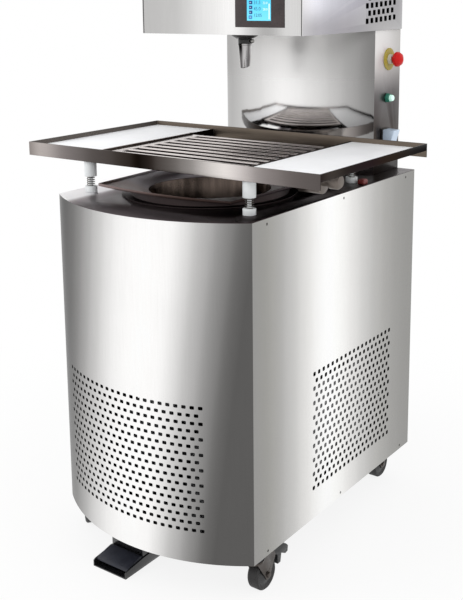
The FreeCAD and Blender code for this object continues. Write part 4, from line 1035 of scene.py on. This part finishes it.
risen = spread(tree, parts["Z"], spout_low.z + 0.02, spout_high.z - 0.02, kind="SMOOTHSTEP")
mirrored = blended(tree, risen, painted_reflection_bands(tree, turned, SPOUT_LOW_REFLECTION), painted_reflection_bands(tree, turned, SPOUT_HIGH_REFLECTION))
skin = marked(tree, coordinates["Object"], mirrored, 0.03, (0.10, 0.18))
ended(tree, Base_Color=skin["Colour"], Roughness=skin["Roughness"], Metallic=1.0)
black_moulding = marked_finish("black_moulding", (16, 15, 15), (0.2, 0.34), marks=0.2, grain=700, bump=0.2)
finished("spout_flange", dark_moulding, edge=0.0004)
finished("spout_collar", black_moulding, edge=0.0004)
finished("spout_tube", chrome, edge=0.0004)


def turned_knob(name, base, along, profile, sides, flutes, material):
    """A small turned part: profile is (radius, height) pairs, and flutes cut its side in steps."""
    turn = Vector(along).to_track_quat("Z", "Y")
    rings = []
    for radius, height in profile:
        ring = []
        for i in range(sides):
            reach = radius * (1 - (flutes if i % 2 else 0.0))
            angle = 2 * math.pi * i / sides
            spot = Vector((reach * math.cos(angle), reach * math.sin(angle), height))
            ring.append(turn @ spot + Vector(base))
        rings.append(ring)
    shape = bmesh.new()
    skinned(shape, rings)
    mesh = made_mesh(name, shape)
    mesh.materials.append(material)
    soft_edges(mesh, 30)
    return added(name, mesh)


collar_low, collar_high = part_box("spout_collar")
collar_z = (collar_low.z + collar_high.z) / 2
KNOB_Y = 0.048
KNOB = [(0.0016, -0.002), (0.0016, 0.0025), (0.0044, 0.0025), (0.0049, 0.0033), (0.0049, 0.0080),
        (0.0042, 0.0089)]
turned_knob("spout_clamp_knob", base=(collar_high.x, KNOB_Y, collar_z), along=(1, 0, 0), profile=KNOB,
            sides=28, flutes=0.06, material=bright_screw)


# ---- controls on the column ------------------------------------------
# A mushroom emergency stop on its yellow disc, a lit start button in a green ring and the
# plug that feeds the table's vibrator.

stop_yellow = marked_finish("stop_yellow", (160, 144, 52), (0.4, 0.55), marks=0.12, grain=300, bump=0.1)
pale_neck = marked_finish("pale_neck", (196, 192, 182), (0.3, 0.45), marks=0.08, grain=400, bump=0.1)
stop_red = marked_finish("stop_red", (196, 14, 12), (0.3, 0.42), grain=300, bump=0.08,
                         Specular_IOR_Level=0.25)
finished("emergency_stop_plate", stop_yellow, edge=0.0004)
finished("emergency_stop_collar", pale_neck, edge=0.0004)
finished("emergency_stop_button", stop_red, edge=0.0006)
start_green = marked_finish("start_green", (46, 118, 98), (0.12, 0.22), grain=300, bump=0.08)
start_cap = marked_finish("start_cap", (214, 240, 232), (0.1, 0.2), marks=0.08, grain=300, cloud=60.0,
                          bump=0.05, Emission_Color=tint(170, 235, 215), Emission_Strength=0.35)
finished("start_button_bezel", start_green, edge=0.0005)
finished("start_button", start_cap, edge=0.0005)
plug_pale = marked_finish("plug_pale", (196, 212, 230), (0.25, 0.4), marks=0.06, grain=500, bump=0.12)
plug = finished("table_plug", plug_pale, edge=0.0005)
column_side_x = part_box("column_shell")[1].x
refinished(plug, black_plastic, lambda polygon: polygon.center.x < column_side_x + 0.0042)


# ---- vibrating table -------------------------------------------------
# A welded stainless tray: deep front and back skirts, shallow side rims and two channels that
# carry the boards and the bars. The skirts are polished, and the room they mirror is painted into their
# colour as reflection.

# Painted reflection on the tray's polished sheet: shades across the skirts, along the side rims and on the
# top, and a painted shade underneath.
TABLE_FRONT_REFLECTION = [(-0.443, (150, 142, 138)), (-0.40, (186, 178, 174)), (-0.33, (143, 136, 134)),
               (-0.24, (100, 94, 92)), (-0.15, (72, 66, 63)), (-0.09, (44, 38, 34)),
               (-0.055, (26, 21, 18)), (-0.01, (66, 60, 57)), (0.06, (116, 111, 108)),
               (0.11, (162, 157, 154)), (0.175, (222, 216, 212)), (0.22, (216, 209, 206)),
               (0.275, (160, 153, 151)), (0.35, (116, 109, 107)), (0.443, (90, 84, 82))]
TABLE_SIDE_REFLECTION = [(-0.307, (44, 36, 34)), (-0.26, (62, 56, 52)), (-0.2, (44, 38, 36)), (-0.1, (38, 28, 30)),
              (0.0, (44, 34, 28)), (0.12, (36, 32, 30)), (0.21, (20, 18, 18))]
table_steel = sheet_with_painted_reflection("table_steel", TABLE_FRONT_REFLECTION, TABLE_SIDE_REFLECTION,
                             [(-0.307, (126, 118, 114)), (-0.2, (96, 90, 88)), (0.0, (60, 55, 53)),
                              (0.21, (76, 72, 70))], (66, 56, 50),
                             marks=0.06, roughness=(0.12, 0.24), grain=(14, 700, 700), rim=0.55)
table = finished("table_frame", table_steel, edge=0.0006)
# Painted reflection and shade on the tray's insides: a lighter steel on the left rim's inside and a brownish
# shaded steel on the back skirt's inside behind the bars.
inner_steel = marked_finish("inner_steel", (118, 112, 108), (0.2, 0.32), metallic=1.0, marks=0.08,
                            grain=(14, 700, 700), cloud=9.0)
back_skirt_painted_shade = marked_finish("back_skirt_painted_shade", (112, 102, 92), (0.3, 0.4), metallic=1.0, grain=(14, 700, 700),
                            cloud=9.0)


def back_skirt(polygon):
    """The back skirt's inside, which faces forwards behind the bars."""
    return polygon.center.y > 0.15 and polygon.normal.y < -0.7


def inner_rim(polygon):
    """The left rim's inside and the left end of the back skirt's."""
    left_rim = polygon.center.x < -0.3 and polygon.normal.x > 0.7
    return left_rim or (back_skirt(polygon) and polygon.center.x < -0.21)


refinished(table, inner_steel, inner_rim)
refinished(table, back_skirt_painted_shade, lambda polygon: back_skirt(polygon) and not inner_rim(polygon))

board_white = marked_finish("board_white", (247, 248, 250), (0.38, 0.52), marks=0.03,
                            grain=(60, 900, 200), cloud=11.0, bump=0.12, depth=0.00015)
finished("right_board", board_white, edge=0.0014)
finished("left_board", board_white, edge=0.0014)
# Painted highlight and shade on the bars: light crowns, dark fronts, sides and undersides.
bar_steel = sheet_with_painted_reflection("bar_steel", [(-0.226, (34, 27, 24)), (0.0, (30, 23, 20)), (0.226, (24, 18, 16))],
                           [(-0.32, (44, 38, 35)), (-0.1, (52, 44, 40)), (0.11, (40, 34, 32))],
                           [(-0.32, (232, 225, 223)), (-0.15, (220, 212, 209)), (0.11, (206, 198, 195))],
                           (24, 20, 18), marks=0.1, roughness=(0.14, 0.26), grain=(14, 900, 900),
                           crown=(0.62, 0.82))
finished("bar_grid", bar_steel, edge=0.0007)


# ---- table feet ------------------------------------------------------
# Four white nylon sleeves under the table ride on coil springs over pins in white collars
# bolted to the deck. The springs are wound from round wire.

white_nylon = marked_finish("white_nylon", (226, 229, 230), (0.3, 0.42), marks=0.05, grain=(80, 80, 900),
                            bump=0.1)
finished("table_foot_sleeves", white_nylon, edge=0.0008)
finished("table_foot_collars", white_nylon, edge=0.0008)
spring_steel = marked_finish("spring_steel", (112, 108, 104), (0.2, 0.35), metallic=1.0, marks=0.15,
                             cloud=80.0)

spring_coils, entry, leave = new_group(
    "spring_coils", "GeometryNodeTree",
    [("Geometry", "Geometry", None), ("Turns", "Float", 4.5), ("Coil Radius", "Float", 0.0095),
     ("Wire Radius", "Float", 0.001), ("Height", "Float", 0.023), ("Material", "Material", None)],
    [("Geometry", "Geometry")])
line = put(spring_coils, "GeometryNodeCurveSpiral",
           {"Resolution": 20, "Rotations": entry["Turns"], "Start Radius": entry["Coil Radius"],
            "End Radius": entry["Coil Radius"], "Height": entry["Height"]})
ring = put(spring_coils, "GeometryNodeCurvePrimitiveCircle",
           {"Resolution": 8, "Radius": entry["Wire Radius"]}, mode="RADIUS")
wire = put(spring_coils, "GeometryNodeCurveToMesh",
           {"Curve": line.outputs[0], "Profile Curve": ring.outputs[0], "Fill Caps": True})
set_down = put(spring_coils, "GeometryNodeInstanceOnPoints",
               {"Points": entry["Geometry"], "Instance": wire.outputs[0]})
settled(spring_coils, set_down.outputs[0], entry, leave)

spring_low, spring_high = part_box("table_foot_springs")
FOOT_X, FOOT_Y = 0.245, (-0.285, 0.180)
feet = bpy.data.meshes.new("foot_springs")
feet.from_pydata([(x, y, spring_low.z + 0.001) for x in (-FOOT_X, FOOT_X) for y in FOOT_Y], [], [])
mesh = grown(feet, spring_coils, Height=spring_high.z - spring_low.z - 0.002, Coil_Radius=0.0095,
             Material=spring_steel)
soft_edges(mesh, 50)
springs = in_scene("foot_springs", mesh)
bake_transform(springs)
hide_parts("table_foot_springs")


# ---- vibrator --------------------------------------------------------
# An unbalance motor bolted under the right-hand board: two turned weight covers on a waist,
# fed from a small moulded connector on the deck.

# The drums' grey cast finish is darkened as painted shade for the dark under the board.
drum_grey = marked_finish("drum_grey", (112, 104, 98), (0.3, 0.46), metallic=0.8, marks=0.16, grain=300,
                          cloud=22.0, bump=0.25, depth=0.00015)
finished("vibrator_motor", drum_grey, edge=0.0012)
connector_red = marked_finish("connector_red", (112, 42, 40), (0.35, 0.5), grain=400)
finished("vibrator_connector", connector_red, edge=0.0008)


# ---- castors ---------------------------------------------------------
# Four pressed swivel castors with solid tyres on moulded hubs; the front pair has toe brakes.
# Forks, wheels and brakes are pieces of their own, because each of them moves by itself.

pressed_steel = marked_finish("pressed_steel", (74, 68, 64), (0.25, 0.45), metallic=0.85, marks=0.25,
                              grain=300, cloud=45.0, bump=0.2)
tyre_rubber = marked_finish("tyre_rubber", (34, 33, 33), (0.45, 0.7), marks=0.25, grain=500, cloud=60.0,
                            bump=0.5, depth=0.0002)
HUB_REACH = 0.0325
finished("castor_plates", zinc_plate, edge=0.0006)
for place in ("front_right", "front_left", "rear_right", "rear_left"):
    finished("castor_fork_" + place, pressed_steel, edge=0.0006)
    wheel = finished("castor_wheel_" + place, tyre_rubber, edge=0.0008)
    middle = sum(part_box("castor_wheel_" + place), Vector()) / 2

    def on_the_hub(polygon, points=wheel.data.vertices, middle=middle):
        return max((points[v].co - middle).length for v in polygon.vertices) < HUB_REACH
    refinished(wheel, black_plastic, on_the_hub)
    if place.startswith("front"):
        finished("castor_brake_" + place, black_plastic, edge=0.0012)


# ---- foot pedal ------------------------------------------------------
# A black enamelled floor tray with a hinged toe plate in front of the switch housing; the toe
# plate is covered with dark rubber.

pedal_enamel = marked_finish("pedal_enamel", (20, 20, 22), (0.12, 0.28), marks=0.3, grain=200, cloud=30.0,
                             bump=0.12, Coat_Weight=0.5, Coat_Roughness=0.1)
treadle_pad = marked_finish("treadle_pad", (34, 36, 46), (0.4, 0.6), marks=0.25, grain=500, cloud=50.0,
                            bump=0.3)
finished("pedal_base", pedal_enamel, edge=0.0006)
finished("pedal_housing", pedal_enamel, edge=0.0008)
finished("pedal_treadle", treadle_pad, edge=0.0008)


low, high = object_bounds()
